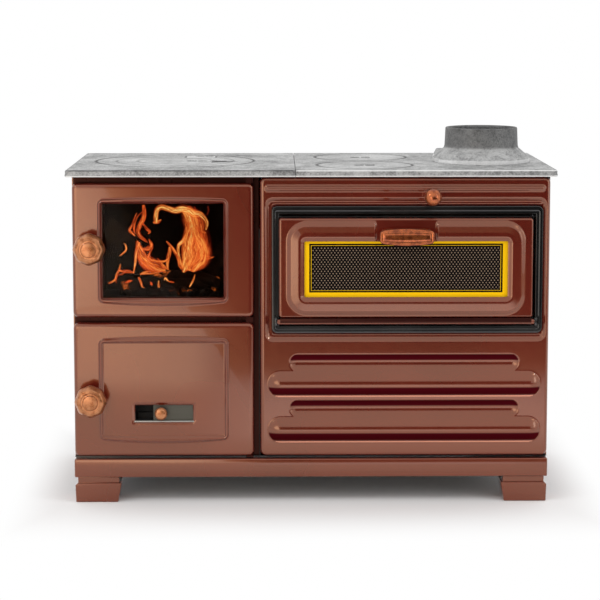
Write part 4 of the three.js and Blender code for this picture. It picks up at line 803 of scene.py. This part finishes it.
def door_shell(name, low_z, high_z, bead_low, bead_high, knob_z, window, node, body):
    """A pressed door with its bowed bead, open inside the bead where there is a window."""
    door = Pressing((DOOR_LEFT, DOOR_RIGHT, low_z, high_z), FACE, corner=9.0, edge=6.0, depth=16.0, coarse=(14.0, 14.0))
    bead = (BEAD_LEFT + BEAD_HALF, BEAD_RIGHT - BEAD_HALF, bead_low + BEAD_HALF, bead_high - BEAD_HALF, BEAD_CORNER)

    def relief(x, z):
        out = from_frame(x, z, *bead)
        if window and out < 0:
            return BEAD_RISE - (BEAD_RISE + SHEET) * slope(-out / BEAD_HALF)
        return BEAD_RISE * swell(out / BEAD_HALF)

    def bow(x, z):
        across = (x + 251.0) / 111.0
        if abs(across) >= 1:
            return 0.0
        low = slope((bead_low + 8.5 - z) / 8.5) * (1 - slope((bead_low - 2.0 - z) / 13.0))
        high = slope((z - bead_high + 8.5) / 8.5) * (1 - slope((z - bead_high - 2.0) / 13.0))
        return (1 - across * across) * (3.0 * high - 6.0 * low)

    door.hole(LATCH_X - LATCH_HOLE, LATCH_X + LATCH_HOLE, knob_z - LATCH_HOLE, knob_z + LATCH_HOLE, LATCH_HOLE)
    near, deep = door.back_at(4.4), door.back_at(11.6)
    for low, high in ((low_z + 9.0 - deep, low_z + 9.0 - near), (high_z - 9.0 + near, high_z - 9.0 + deep)):
        door.hole(HINGE_X - HINGE_HALF, HINGE_X + HINGE_HALF, low, high, 0.0)
    if window:
        door.hole(-353.5, -148.5, bead_low + 8.5, bead_high - 8.5, 1.5)
    else:
        door.hole(-300.5, -201.5, 142.0, 169.0, 0.4)
    dense_x = [(-363.5, -352.5, 0.9), (-149.5, -138.5, 0.9)]
    dense_z = [(bead_low - 1.5, bead_low + 10.0, 0.9), (bead_high - 10.0, bead_high + 1.5, 0.9)]
    pressed(name, door, (dense_x, dense_z), relief, body, node, shift=bow)


door_shell("fire_door_pressing", 320.0, 548.0, 345.0, 522.0, 440.0, True, "fire_door_shell", "fire_door")
dress(dark_iron, "fire_door_casting", "fire_door_cam")

fire_glass, place = new_finish("fire_glass")
haze = place.noise(16.0, 3.0)
tone = place.blend((0.80, 0.78, 0.74), (0.55, 0.50, 0.44), haze.ramp(0.45, 0.75))
coat(place, tone, 0.02 + haze.ramp(0.5, 0.8) * 0.05, IOR=1.115, Transmission_Weight=1.0)
dress(fire_glass, "fire_door_glass")

rope, place = new_finish("mineral_rope")
waves = {"Vector": place, "Scale": 90.0, "Distortion": 1.0}
twist = place.node("ShaderNodeTexWave", waves, wave_type="BANDS", bands_direction="DIAGONAL")
coat(place, place.blend((0.30, 0.28, 0.24), (0.52, 0.49, 0.43), twist), 0.95, (twist, 0.8, 1.0))
dress(rope, "fire_door_rope", "ash_door_rope")


# The latch knobs: cast with eight soft lobes and a raised disc, coated in satin copper lacquer.
# Each turns a shaft that carries a tongue behind the front casting.
def lacquer(name, dark, light, rough, spread, dents, **shine):
    """A mottled copper lacquer over cast metal."""
    made, place = new_finish(name)
    mottle = place.noise(110.0, 4.0, 0.6)
    tone = place.blend(dark, light, mottle.ramp(0.35, 0.6))
    coat(place, tone, rough + mottle * spread, (mottle, dents, 0.4), **shine)
    return made


copper = lacquer(
    "copper_lacquer", (0.33, 0.110, 0.036), (0.50, 0.205, 0.088),
    rough=0.22, spread=0.14, dents=0.25, Metallic=0.85, Coat_Weight=0.30, Coat_Roughness=0.08,
)
deep_copper = lacquer(
    "deep_copper_lacquer", (0.24, 0.048, 0.012), (0.46, 0.118, 0.032),
    rough=0.16, spread=0.12, dents=0.2, Metallic=0.8, Coat_Weight=0.45, Coat_Roughness=0.05,
)


def spun(form, profile, centre, axis, steps=72, wobble=None):
    """Turns a profile of (radius, place along the axis) pairs about X or Y; it starts and ends on the axis."""
    loops = []
    for radius, spot in profile:
        ring = []
        for k in range(steps):
            turn = 2 * math.pi * k / steps
            r = radius + (wobble(turn, radius) if wobble else 0.0)
            a, b = centre[0] + r * math.cos(turn), centre[1] + r * math.sin(turn)
            ring.append((a, spot, b) if axis == "Y" else (spot, a, b))
        loops.append(form.loop(ring))
    form.skin(loops)


def latch_knob(name, z, node, body):
    form = Form()

    def lobes(turn, radius):
        return 0.8 * math.cos(8 * turn) * min(max((radius - 15.0) / 11.5, 0.0), 1.0)

    head = [(0.0, -194.5), (22.0, -194.5), (26.5, -197.5), (26.3, -208.0), (22.0, -215.6)]
    head += [(17.5, -217.0), (15.5, -215.8), (13.0, -215.8), (12.0, -218.6), (0.0, -219.0)]
    head = filleted(head, [0, 1.5, 3.0, 6.0, 3.5, 1.2, 0.6, 0.6, 1.5, 0], 4, False)
    spun(form, head, (LATCH_X, z), "Y", 96, lobes)
    stem = [(0.0, -193.0), (9.0, -195.0), (8.2, -184.0), (9.5, -173.6), (5.0, -173.6), (5.0, -142.0), (0.0, -142.0)]
    spun(form, stem, (LATCH_X, z), "Y", 40)
    finished(piece(name, form, copper), body, "copper", node)


latch_knob("fire_latch_knob", 440.0, "fire_door_knob", "fire_latch")


# The ash door: the same pressing with a closed field, and a slot through which air reaches the grate.
# A steel plate slides behind the slot and is moved by a small copper button.
door_shell("ash_door_pressing", 80.0, 310.0, 108.0, 284.0, 181.0, False, "ash_door_shell", "ash_door")
dress(dark_iron, "ash_door_casting", "ash_door_cam")
latch_knob("ash_latch_knob", 181.0, "ash_door_knob", "ash_latch")


def brushed(name, dark, light, metallic, rough):
    """Steel with a fine brushed grain along it."""
    made, place = new_finish(name)
    brush = place.stretched(8.0, 400.0, 400.0).noise(6.0, 4.0, 0.6)
    coat(place, place.blend(dark, light, brush), rough + brush * 0.2, (brush, 0.2, 0.2), Metallic=metallic)
    return made


steel = brushed("brushed_steel", (0.30, 0.29, 0.27), (0.46, 0.45, 0.42), 0.9, 0.30)
dress(steel, "oven_runner_left", "oven_runner_right", "oven_hinge_pin_left", "oven_hinge_pin_right", "damper_rod")
# The plate seen through the air slot is a much darker steel.
darkened_steel = brushed("darkened_brushed_steel", (0.060, 0.057, 0.046), (0.115, 0.110, 0.090), 0.7, 0.38)
dress(darkened_steel, "air_slider")
form = Form()
block(form, (-302.0, -174.4, 139.4), (-200.0, -171.2, 142.0), 0.7, 3)
finished(piece("air_slot_sill", form, steel), "ash_door", "steel")
form = Form()
button = [(0.0, -188.0), (8.0, -187.4), (11.0, -183.0), (10.6, -180.2)]
button += [(9.0, -179.0), (5.0, -179.0), (5.0, -171.0), (0.0, -171.0)]
spun(form, filleted(button, [0, 4.0, 2.5, 1.0, 1.0, 0, 0, 0], 4, False), (-256.0, 155.5), "Y", 64)
finished(piece("air_slider_button", form, copper), "air_control", "copper", "air_slider_knob")


# The oven panel: one wide sheet with a shallow tray pressed in for the oven, a rib above it,
# and below it two long ribs standing out, each with a shorter trough sunk in above it.
panel = Pressing((-87.0, 404.0, 80.0, 558.7), FACE, corner=10.0, edge=6.0, depth=16.0, coarse=(16.0, 16.0))
TRAY = (-79.0, 399.0, 277.7, 523.7, 14.0)
LONG_RIBS, RIB_HALF, RIB_LEFT, RIB_RIGHT = (125.5, 204.5), 21.5, -74.0, 391.0
TROUGHS, TROUGH_HALF, TROUGH_LEFT, TROUGH_RIGHT = (162.0, 241.0), 15.0, -37.0, 354.0


def from_bar(x, z, low_x, high_x, middle_z, half):
    """How far from the spine of a bar with round ends, as a share of half its height."""
    return math.hypot(x - min(max(x, low_x + half), high_x - half), z - middle_z) / half


def dome(t):
    """A shallow arch with a soft foot."""
    if t >= 1.12:
        return 0.0
    arch = 1 - t * t
    return (arch + math.sqrt(arch * arch + 0.012)) / 2 * (1 - slope((t - 0.9) / 0.22))


def panel_relief(x, z):
    rise = bent(-from_frame(x, z, *TRAY), [(0.0, 0.0), (7.0, -5.0)])
    rise += 4.0 * swell(from_bar(x, z, -80.0, 397.0, 539.2, 7.0))
    for middle in LONG_RIBS:
        rise += 8.0 * dome(from_bar(x, z, RIB_LEFT, RIB_RIGHT, middle, RIB_HALF))
    for middle in TROUGHS:
        rise -= 5.0 * dome(from_bar(x, z, TROUGH_LEFT, TROUGH_RIGHT, middle, TROUGH_HALF))
    return rise


def panel_pooled(x, z):
    """Where the enamel gets painted shade, under the ribs and in the tops of the troughs, and with a minus where it
    gets a painted highlight line, along the feet of the ribs."""
    foot = max(slope((1.0 - abs(z - middle) / RIB_HALF - 0.12) / 0.06) for middle in LONG_RIBS)
    lip = max(slope((1.0 - abs(z - middle) / TROUGH_HALF) / 0.04) for middle in TROUGHS)
    rib_foot_highlight = max(slope(1.4 * (1.0 - abs((middle - z) / RIB_HALF - 0.97) / 0.075)) for middle in LONG_RIBS)
    return max(foot, lip) * (1.0 - rib_foot_highlight) - rib_foot_highlight if z < 260 else 0.0


panel.hole(-67.3, 392.3, 291.9, 509.5, 9.3)
panel.hole(198.6, 207.4, 522.6, 531.4, 4.4)
dense_x = [(-81.0, -69.0, 0.9), (-68.0, -14.0, 1.6), (331.0, 379.0, 1.6), (380.0, 401.0, 0.9)]
dense_z = [(99.0, 262.0, 1.2), (275.5, 287.0, 0.8), (514.5, 526.0, 0.8), (530.0, 549.0, 0.9)]
pressed("oven_panel_pressing", panel, (dense_x, dense_z), panel_relief, "cabinet", "oven_panel", pooled=panel_pooled)


# The oven frame: pressed in black enamel and set in the tray, with a round lip and a lower ledge
# that the door closes on. Two lugs at its foot hold the pins of the hinge rail.
ring = Pressing((-67.0, 392.0, 292.2, 509.2), FACE, corner=9.0, edge=1.4, depth=10.5, coarse=(16.0, 16.0))


def frame_relief(x, z):
    inside = -from_frame(x, z, -67.0, 392.0, 293.2, 507.2, 9.0)
    folds = [(0.0, 0.0), (5.4, 0.0), (6.4, -0.9), (11.5, -0.9), (15.5, -9.0)]
    return bent(inside, folds, 0.4)


ring.hole(-46.0, 371.0, 327.2, 482.2, 3.0)
dense = [(-62.5, -50.5, 0.5), (375.5, 387.5, 0.5)], [(297.0, 309.7, 0.5), (490.7, 503.4, 0.5)]
black_coat = black_enamel, "black_enamel"
pressed("oven_frame_pressing", ring, dense, frame_relief, "cabinet", "oven_frame", black_coat, 1.5)
for hand, low_x in (("left", -62.3), ("right", 378.3)):
    form = Form()

    def lug_outline(inset, x):
        corners = oblong(-183.0 + inset, 305.2 + inset, -165.5, 320.2 - inset)
        return [(x, y, z) for y, z in filleted(corners, [4.0, 0.4, 0.4, 4.0], 5)]

    softened(form, lug_outline, edge_profile(low_x, low_x + 4.0, 0.6, 2))
    finished(piece(f"hinge_lug_{hand}", form, black_enamel), "cabinet", "black_enamel")
dress(black_enamel, "oven_box")


# The oven rack: eleven wires welded across two rails, which slides on two steel runners.
def rack_layout(start, given):
    """Wires side by side across two rails."""
    section = start.node("GeometryNodeCurvePrimitiveCircle", {"Resolution": 10, "Radius": given["Wire radius"]})
    long_way = start.node("ShaderNodeCombineXYZ", {"Y": given["Depth"]})
    cross_way = start.node("ShaderNodeCombineXYZ", {"X": given["Width"]})
    pitch = start.node("ShaderNodeCombineXYZ", {"X": given["Width"] / (given["Wires"] - 1.0)})
    both = []
    for way, count, offset in ((long_way, given["Wires"], pitch), (cross_way, 2, long_way)):
        rod = start.node("GeometryNodeCurvePrimitiveLine", {"End": way})
        rod = start.node("GeometryNodeCurveToMesh", {0: rod, 1: section, "Fill Caps": True})
        row = start.node("GeometryNodeMeshLine", {"Count": count, "Offset": offset})
        both.append(start.node("GeometryNodeInstanceOnPoints", {"Points": row, "Instance": rod}))
    joined = start.node("GeometryNodeJoinGeometry", {0: both})
    placed = start.node("GeometryNodeTransform", {0: joined, "Translation": given["Corner"]})
    real = start.node("GeometryNodeRealizeInstances", {0: placed})
    smooth = start.node("GeometryNodeSetShadeSmooth", {0: real})
    return start.node("GeometryNodeSetMaterial", {0: smooth, "Material": steel})


rack_low, rack_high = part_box("oven_rack")
wire_radius = (rack_high.z - rack_low.z) / 2
rack_inputs = {
    "Width": rack_high.x - rack_low.x - 2 * wire_radius,
    "Depth": rack_high.y - rack_low.y - 2 * wire_radius,
    "Wires": 11,
    "Wire radius": wire_radius * 0.98,
    "Corner": (rack_low.x + wire_radius, rack_low.y + wire_radius, rack_low.z + wire_radius),
}
finished(grown("oven_rack_wires", rack_layout, rack_inputs), "cabinet", "steel", "oven_rack")


# The oven door: a pan with a broad raised ring round a printed pane, notched behind the handle.
# A black liner holds the pane from behind. Below, a round rail turns on two pins, joined by a web whose near-black
# enamel is painted shade.
DOOR_PAN = (-55.0, 375.0, 319.2, 489.2)
oven_door = Pressing(DOOR_PAN, -179.0, corner=5.0, edge=3.5, depth=13.7, coarse=(14.0, 14.0))
RING = (-42.0, 362.0, 324.2, 484.2, 34.0)
PANE_HOLE = (-12.0, 332.0, 355.2, 450.2)
NOTCH_HALF, NOTCH_LOW = 49.5, 452.2
OVEN_X, POST_OFFSET, POST_HOLE = 160.0, 30.0, 5.2


def oven_door_relief(x, z):
    inside = -from_frame(x, z, *RING)
    beyond = from_frame(x, z, *PANE_HOLE, 3.0)
    rise = bent(inside, [(0.0, 0.0), (7.2, 3.9), (20.0, 5.5)], 0.9)
    rise -= bent(-beyond, [(-7.5, 0.0), (-0.5, 3.6)], 0.9)
    across, up = abs(x - OVEN_X) - NOTCH_HALF, NOTCH_LOW - z
    away = math.hypot(max(across, 0.0), max(up, 0.0)) if across > 0 or up > 0 else 0.0
    return rise * slope(away / 4.5)


oven_door.hole(*PANE_HOLE, 2.0)
for x in (OVEN_X - POST_OFFSET, OVEN_X + POST_OFFSET):
    oven_door.hole(x - POST_HOLE, x + POST_HOLE, 461.0, 471.4, POST_HOLE)
dense_x = [(-43.5, -9.0, 1.2), (104.0, 112.0, 0.9), (208.0, 216.0, 0.9), (329.0, 363.5, 1.2)]
dense_z = [(323.0, 358.0, 1.2), (440.0, 485.5, 1.2)]
pressed("oven_door_pressing", oven_door, (dense_x, dense_z), oven_door_relief, "oven_door", "oven_door_shell")
dress(dark_iron, "oven_door_liner")

PRINT_YELLOW, PRINT_DOT = (1.0, 0.58, 0.005), (0.25, 0.175, 0.12)
oven_glass, place = new_finish("printed_glass")
across, up = place.along("X"), place.along("Z")
side, high = (across - 0.160).size(), (up - 0.4043).size()
border = side.ramp(0.1637, 0.1640).most(high.ramp(0.0415, 0.0418))
line = side.ramp(0.1598, 0.1600).least(side.fall(0.1608, 0.1610)) * high.fall(0.0389, 0.0391)
line = line.most(high.ramp(0.0380, 0.0382).least(high.fall(0.0388, 0.0390)) * side.fall(0.1606, 0.1608))
PITCH_X, PITCH_Z = 0.00564, 0.00393
row = up / PITCH_Z
odd = place.sum("MODULO", place.sum("FLOOR", row), 2.0).size() * 0.5
cell_x = place.sum("FRACT", across / PITCH_X + odd + 100.0) - 0.5
cell_z = place.sum("FRACT", row + 100.0) - 0.5
round_dot = (cell_x * cell_x + cell_z * cell_z * 0.485) ** 0.5
dot = round_dot.fall(0.17, 0.24) * side.fall(0.1585, 0.1590) * high.fall(0.0365, 0.0370)
ink = place.blend(place.blend(0.003, PRINT_DOT, dot), PRINT_YELLOW, border.most(line * 0.75))
coat(place, ink, 0.08 + place.noise(40.0, 2.0) * 0.04, IOR=1.45)
dress(oven_glass, "oven_door_glass")

HANDLE_HALF, HANDLE_Z = 46.0, 459.7
HANDLE = (OVEN_X - HANDLE_HALF, OVEN_X + HANDLE_HALF, 448.2, 471.2)
handle = Pressing(HANDLE, -209.0, corner=5.0, edge=3.5, depth=8.0, coarse=(5.0, 3.0))


def handle_relief(x, z):
    inside = -from_frame(x, z, *HANDLE, 5.0)
    across = (x - OVEN_X) / HANDLE_HALF
    return -0.9 * slope((inside - 3.0) / 1.5) + 0.9 * slope((inside - 5.5) / 3.0) - 3.0 * across * across


def handle_bow(x, z):
    across, up = abs(x - OVEN_X) / HANDLE_HALF, (z - HANDLE_Z) / 11.5
    return (3.0 * (1 - across * across) - 2.0 * across ** 6) * up


dense = [(117.0, 124.0, 0.8), (196.0, 203.0, 0.8)], [(451.0, 457.0, 0.8), (462.0, 468.0, 0.8)]
form = handle.form(*dense, handle_relief, handle_bow, closed=True)[0]
post = [(0.0, -202.5), (4.9, -202.5), (4.5, -190.0), (4.9, -177.2), (0.0, -177.2)]
for x in (OVEN_X - POST_OFFSET, OVEN_X + POST_OFFSET):
    spun(form, post, (x, 466.2), "Y", 32)
finished(piece("oven_handle", form, deep_copper), "oven_door", "copper", "oven_door_handle")

form = Form()
rail = [(0.0, -54.0), (3.2, -54.0), (3.2, -58.0), (4.0, -58.0), (4.6, -57.4)]
rail += [(4.6, 377.4), (4.0, 378.0), (3.2, 378.0), (3.2, 374.0), (0.0, 374.0)]
spun(form, rail, (-178.0, 312.7), "X", 40)
finished(piece("oven_door_rail", form, enamel), "oven_door", "enamel", "oven_hinge_rail")
# The web wears the near-black enamel as painted shade in the gap under the oven door.
form = Form()
block(form, (-53.0, -183.0, 311.3), (373.0, -173.0, 318.9), 0.6, 2)
finished(piece("oven_door_web", form, gap_shade_enamel), "oven_door", "enamel")


# The damper: a plate on top of the oven box that turns the smoke round it, drawn out by a rod.
# The rod ends in a ball of copper lacquer in front of the panel.
dress(dark_iron, "damper_plate")
form = Form()
ball = [(14.5 * math.sin(math.pi * k / 24), -203.0 - 14.5 * math.cos(math.pi * k / 24)) for k in range(22)]
ball += [(5.2, -189.6), (5.2, -186.5), (4.3, -185.8), (4.3, -188.0), (0.0, -188.0)]
spun(form, ball, (203.0, 527.0), "Y", 64)
finished(piece("damper_ball", form, deep_copper), "damper", "copper", "damper_knob")


# The hob: two ground iron castings side by side, each with a rolled lip along its outer edges.
# The left one takes a large ring set, the right one two lids and the flue collar.
HOB_TOP, HOB_UNDER, HOB_RIM = 571.0, 563.0, 559.0
HOB_FRONT, HOB_REAR, HOB_SIDE, HOB_SEAM = -181.0, 219.0, 415.0, -27.0
LEDGE, LEDGE_LOW = 8.0, 567.0
LARGE, SMALL_FRONT, SMALL_REAR, FLUE = (-239.0, 24.0), (94.0, -73.0), (94.0, 110.0), (305.0, 17.0)
OUTER_RING, INNER_RING, RING_LID, SMALL_LID = 140.0, 104.0, 67.0, 83.0
hob_iron, place = new_finish("ground_cast_iron")
east, north, level = place.along("X"), place.along("Y"), place.along("Z")
grain = place.noise(340.0, 4.0, 0.65)
cloud = place.noise(70.0, 4.0, 0.6)
shade = grain * 0.5 + cloud * 0.4 + place.noise(12.0, 3.0) * 0.35
polish_and_sheen, groove, turning = 0.0, 0.0, 0.0
large_set = LARGE, (OUTER_RING, INNER_RING, RING_LID)
for (x, y), radii in (large_set, (SMALL_FRONT, (SMALL_LID,)), (SMALL_REAR, (SMALL_LID,))):
    off_x, off_y = east - x * MM, north - y * MM
    away = (off_x * off_x + off_y * off_y) ** 0.5
    on_set = away.fall(radii[0] * MM - 0.004, radii[0] * MM - 0.001)
    # Each ring set and lid is lighter as turned iron, and brightest towards its middle as a painted sheen.
    polish_and_sheen = on_set * (1.0 - away / (radii[0] * MM * 1.6)) + polish_and_sheen
    turning = on_set * (away * 2600.0).sum("SINE", away * 2600.0) + turning
    for radius in radii:
        depth = 1.0 if radius == radii[0] else 0.45
        groove = (depth * (away - radius * MM).size().fall(0.0012, 0.0048)).most(groove)
inside = east.size().fall(0.4085, 0.4100) * north.ramp(-0.1765, -0.1750) * north.fall(0.2130, 0.2145)
outside = 1.0 - inside
soot = inside * level.fall(0.5684, 0.5702) * (east + 0.027).size().ramp(0.0012, 0.0020)
# A dark wedge on the large ring set, right of its middle, is painted shade of a hollow.
hollow_shade = 0.030 * (1.0 - (east + 0.173) / 0.053) - (north - 0.008).size()
hollow_shade = hollow_shade.ramp(0.0, 0.006) * east.ramp(-0.1745, -0.1725)
worn = ((east + 0.1965).size() - 0.0285).most((north - 0.118).size() - 0.019)
worn_line = (worn + 0.001).size().fall(0.0012, 0.0030)
behind = (north - 0.017).least(0.0) / 1.19 + (north - 0.017).most(0.0)
from_flue = ((east - 0.305) * (east - 0.305) + behind * behind) ** 0.5
on_collar = level.ramp(0.5711, 0.5713)
# A painted highlight along the lower rim of the flue skirt.
skirt_rim_highlight = on_collar * from_flue.ramp(0.0838, 0.0856) * level.fall(0.5770, 0.5784)
# Painted reflections on the hob's lip: a line along its top edge, and a bright line at its foot.
rim_line_reflection = outside * (level - 0.5696).size().fall(0.0004, 0.0014)
rim_foot_highlight = outside * (level - 0.5600).size().fall(0.0006, 0.0020)
right_half = east.ramp(-0.032, -0.022)
# Dark marks: the dark outline of the worn patch and the painted shade of a hollow.
dark_mark = (worn_line * 0.7).most(hollow_shade * 0.85) * inside * (1.0 - on_collar)
iron_tone = place.blend(0.085, (0.59, 0.59, 0.585), shade.ramp(0.44, 0.78))
for colour, share in (
    (0.20, outside * (1.0 - on_collar) * 0.35),
    # Turned iron lightened, with its painted sheen.
    ((0.68, 0.68, 0.675), polish_and_sheen * 0.30),
    (0.33, on_collar * 0.25),
    # A painted highlight on the skirt's rim, and the lighter worn patch on the large ring set.
    ((0.85, 0.85, 0.845), (skirt_rim_highlight * 0.6).most(worn.fall(-0.004, 0.0) * 0.75)),
    (0.0, level.ramp(0.5935, 0.5990) * 0.60),
    # Painted highlight at the lip's foot, and along its top on the right casting.
    ((0.90, 0.90, 0.89), rim_foot_highlight.most(rim_line_reflection * right_half) * 0.75),
    # Painted dark reflection along the top of the lip on the left casting.
    (0.03, rim_line_reflection * (1.0 - right_half) * 0.65),
    ((0.022, 0.021, 0.020), (groove * 0.75).most(soot).most(dark_mark)),
):
    iron_tone = place.blend(iron_tone, colour, share)
coat(place, iron_tone, 0.46 + cloud * 0.20, (grain + turning * 0.05, 0.40, 0.40), Metallic=0.30)


def circle(centre, radius, z, steps=128, forward=1.0):
    """Points of a circle seen from above; forward stretches its front half."""
    points = []
    for k in range(steps):
        across, along = math.cos(2 * math.pi * k / steps), math.sin(2 * math.pi * k / steps)
        points.append((centre[0] + radius * across, centre[1] + radius * along * (forward if along < 0 else 1.0), z))
    return points


def stepped(form, centre, radius, top, rim=0.9, play=0.0):
    """A turned step from the underside to the top, with its rim broken; gives its lowest and highest loops."""
    ledge = LEDGE_LOW + play
    step = [(radius - LEDGE, HOB_UNDER), (radius - LEDGE, ledge), (radius, ledge), (radius, HOB_TOP - 1.0)]
    loops = [form.loop(circle(centre, r, z)) for r, z in [*step, (radius + rim, top)]]
    form.skin(loops)
    return loops[0], loops[-1]


def hob_casting(name, low_x, high_x, rings, bores, node):
    """A plate with a rolled lip, a deeper rim below, stepped holes for the rings and plain bores."""
    form = Form()
    seams = low_x > -100.0, high_x < 100.0
    square_corner = 0.3

    def outline(inset, z):
        left, right = [min(inset, square_corner) if seam else inset for seam in seams]
        corners = oblong(low_x + left, HOB_FRONT + inset, high_x - right, HOB_REAR - inset)
        round_corner = max(6.0 - inset, 0.4)
        left, right = [square_corner if seam else round_corner for seam in seams]
        return [(x, y, z) for x, y in filleted(corners, [left, right, right, left], 4)]

    rim = [(12.0, HOB_UNDER), (12.0, HOB_RIM), (2.2, HOB_RIM), (0.8, HOB_RIM + 0.4), (0.1, HOB_RIM + 1.4)]
    rim += [(0.0, HOB_RIM + 2.6), (0.5, 563.6), (0.8, 565.6), (0.6, 567.6), (0.9, 569.0), (1.7, 570.2)]
    loops = [form.loop(outline(inset, z)) for inset, z in rim + [(2.8, 570.85), (4.0, HOB_TOP)]]
    form.skin(loops)
    ends = [stepped(form, centre, radius, HOB_TOP) for centre, radius in rings]
    for centre, radius in bores:
        bore = [form.loop(circle(centre, radius, z, 64)) for z in (HOB_UNDER, HOB_TOP)]
        form.skin(bore)
        ends.append(bore)
    form.fill(loops[-1], *[top for under, top in ends])
    form.fill(loops[0], *[under for under, top in ends])
    finished(piece(name, form, hob_iron, 30), "cabinet", "hob_iron", node)


small_lids = [(SMALL_FRONT, SMALL_LID), (SMALL_REAR, SMALL_LID)]
hob_casting("hob_casting_left", -HOB_SIDE, HOB_SEAM - 0.15, [(LARGE, OUTER_RING)], [], "hob_left")
hob_casting("hob_casting_right", HOB_SEAM + 0.15, HOB_SIDE, small_lids, [(FLUE, 60.0)], "hob_right")


# The ring set and the lids: turned iron discs that sit flush in their stepped seats.
# Each has a pocket with a bar across it, where the lifting iron takes hold.
def disc(name, centre, radius, inner, pocket, node, body):
    """A stepped ring or lid; inner is the radius of its own hole or zero, pocket its middle and half sizes."""
    form = Form()
    top, play = HOB_TOP - 0.05, 0.35
    under, over = stepped(form, centre, radius - play, top, -0.9, play)
    x, y, half_x, half_y = pocket
    corners = oblong(x - half_x, y - half_y, x + half_x, y + half_y)
    slot = [form.loop([(a, b, z) for a, b in filleted(corners, 4.0, 5)]) for z in (HOB_TOP - 5.0, top - 0.6)]
    wide = [(a + math.copysign(0.6, a - x), b + math.copysign(0.6, b - y)) for a, b in corners]
    slot.append(form.loop([(a, b, top) for a, b in filleted(wide, 4.4, 5)]))
    form.skin(slot)
    form.fill(slot[0])
    hole = [stepped(form, centre, inner, top)] if inner else []
    form.fill(over, *[high for low, high in hole], slot[-1])
    form.fill(under, *[low for low, high in hole])
    long_y = half_x > half_y
    middle, reach = ((x, y)[1 - long_y], (half_x, half_y)[long_y] - 0.2)
    along = y if long_y else x
    bar = [(r, along - side * reach) for r, side in ((0.0, 1), (1.7, 1), (1.7, -1), (0.0, -1))]
    spun(form, bar, (middle, HOB_TOP - 1.9), "Y" if long_y else "X", 12)
    finished(piece(name, form, hob_iron, 30), body, "hob_iron", node)


disc("ring_outer", LARGE, OUTER_RING, INNER_RING, (-190.0, 134.0, 16.0, 8.5), "large_ring_outer", "outer_ring")
disc("ring_inner", LARGE, INNER_RING, RING_LID, (-157.8, 20.0, 11.0, 15.0), "large_ring_inner", "inner_ring")
disc("ring_lid", LARGE, RING_LID, 0.0, (-200.0, 24.0, 18.0, 11.0), "large_lid", "centre_lid")
for end, centre in (("front", SMALL_FRONT), ("rear", SMALL_REAR)):
    disc(f"lid_{end}", centre, SMALL_LID, 0.0, (*centre, 18.0, 12.0), f"small_lid_{end}", f"{end}_lid")


# The flue collar: a cast spigot on a flaring skirt, standing on a low pad with sloping sides.
# It is bolted over the bore in the hob, and the stovepipe slides over it.
form = Form()
PAD_FOOT, PAD_TOP = 571.3, 587.3


def pad_outline(inset, z):
    x0, y0, x1, y1 = 226.0 + inset, -66.0 + inset, 379.0 - inset, 121.0 - inset
    corners = [(x0, y0 + 26.0), (x0 + 16.0, y0), (x1, y0), (x1, y1), (x0, y1)]
    return [(x, y, z) for x, y in filleted(corners, [3.0, 6.0, 50.0, 50.0, 8.0], 8)]


bore = [form.loop(circle(FLUE, 59.5, z, 96)) for z in (PAD_FOOT, PAD_TOP)]
sides = [(0.0, PAD_FOOT), (0.0, 573.8), (0.8, 575.0), (6.0, 586.4), (7.4, PAD_TOP)]
loops = softened(form, pad_outline, sides, False)
form.skin(bore)
form.fill(loops[0], bore[0])
form.fill(loops[-1], bore[-1])
spigot = [(58.6, PAD_FOOT), (60.0, 573.0), (59.0, 628.0), (60.2, 631.3), (62.6, 631.3), (63.6, 629.8)]
spigot += [(64.9, 600.0), (66.2, 595.5), (83.6, 580.4), (86.0, 577.4), (86.0, PAD_FOOT)]
collar = filleted(spigot, [0, 1.0, 0.6, 0.6, 0.6, 0.6, 1.5, 2.0, 1.6, 1.6, 0], 4, False)
loops = []
for r, z in collar:
    drawn_out = 1 + 0.19 * slope((594.0 - z) / 18.0) * (r > 61.0)
    loops.append(form.loop(circle(FLUE, r, z, 96, drawn_out)))
form.skin(loops + [loops[0]])
finished(piece("flue_spigot", form, hob_iron), "cabinet", "hob_iron", "flue_collar")
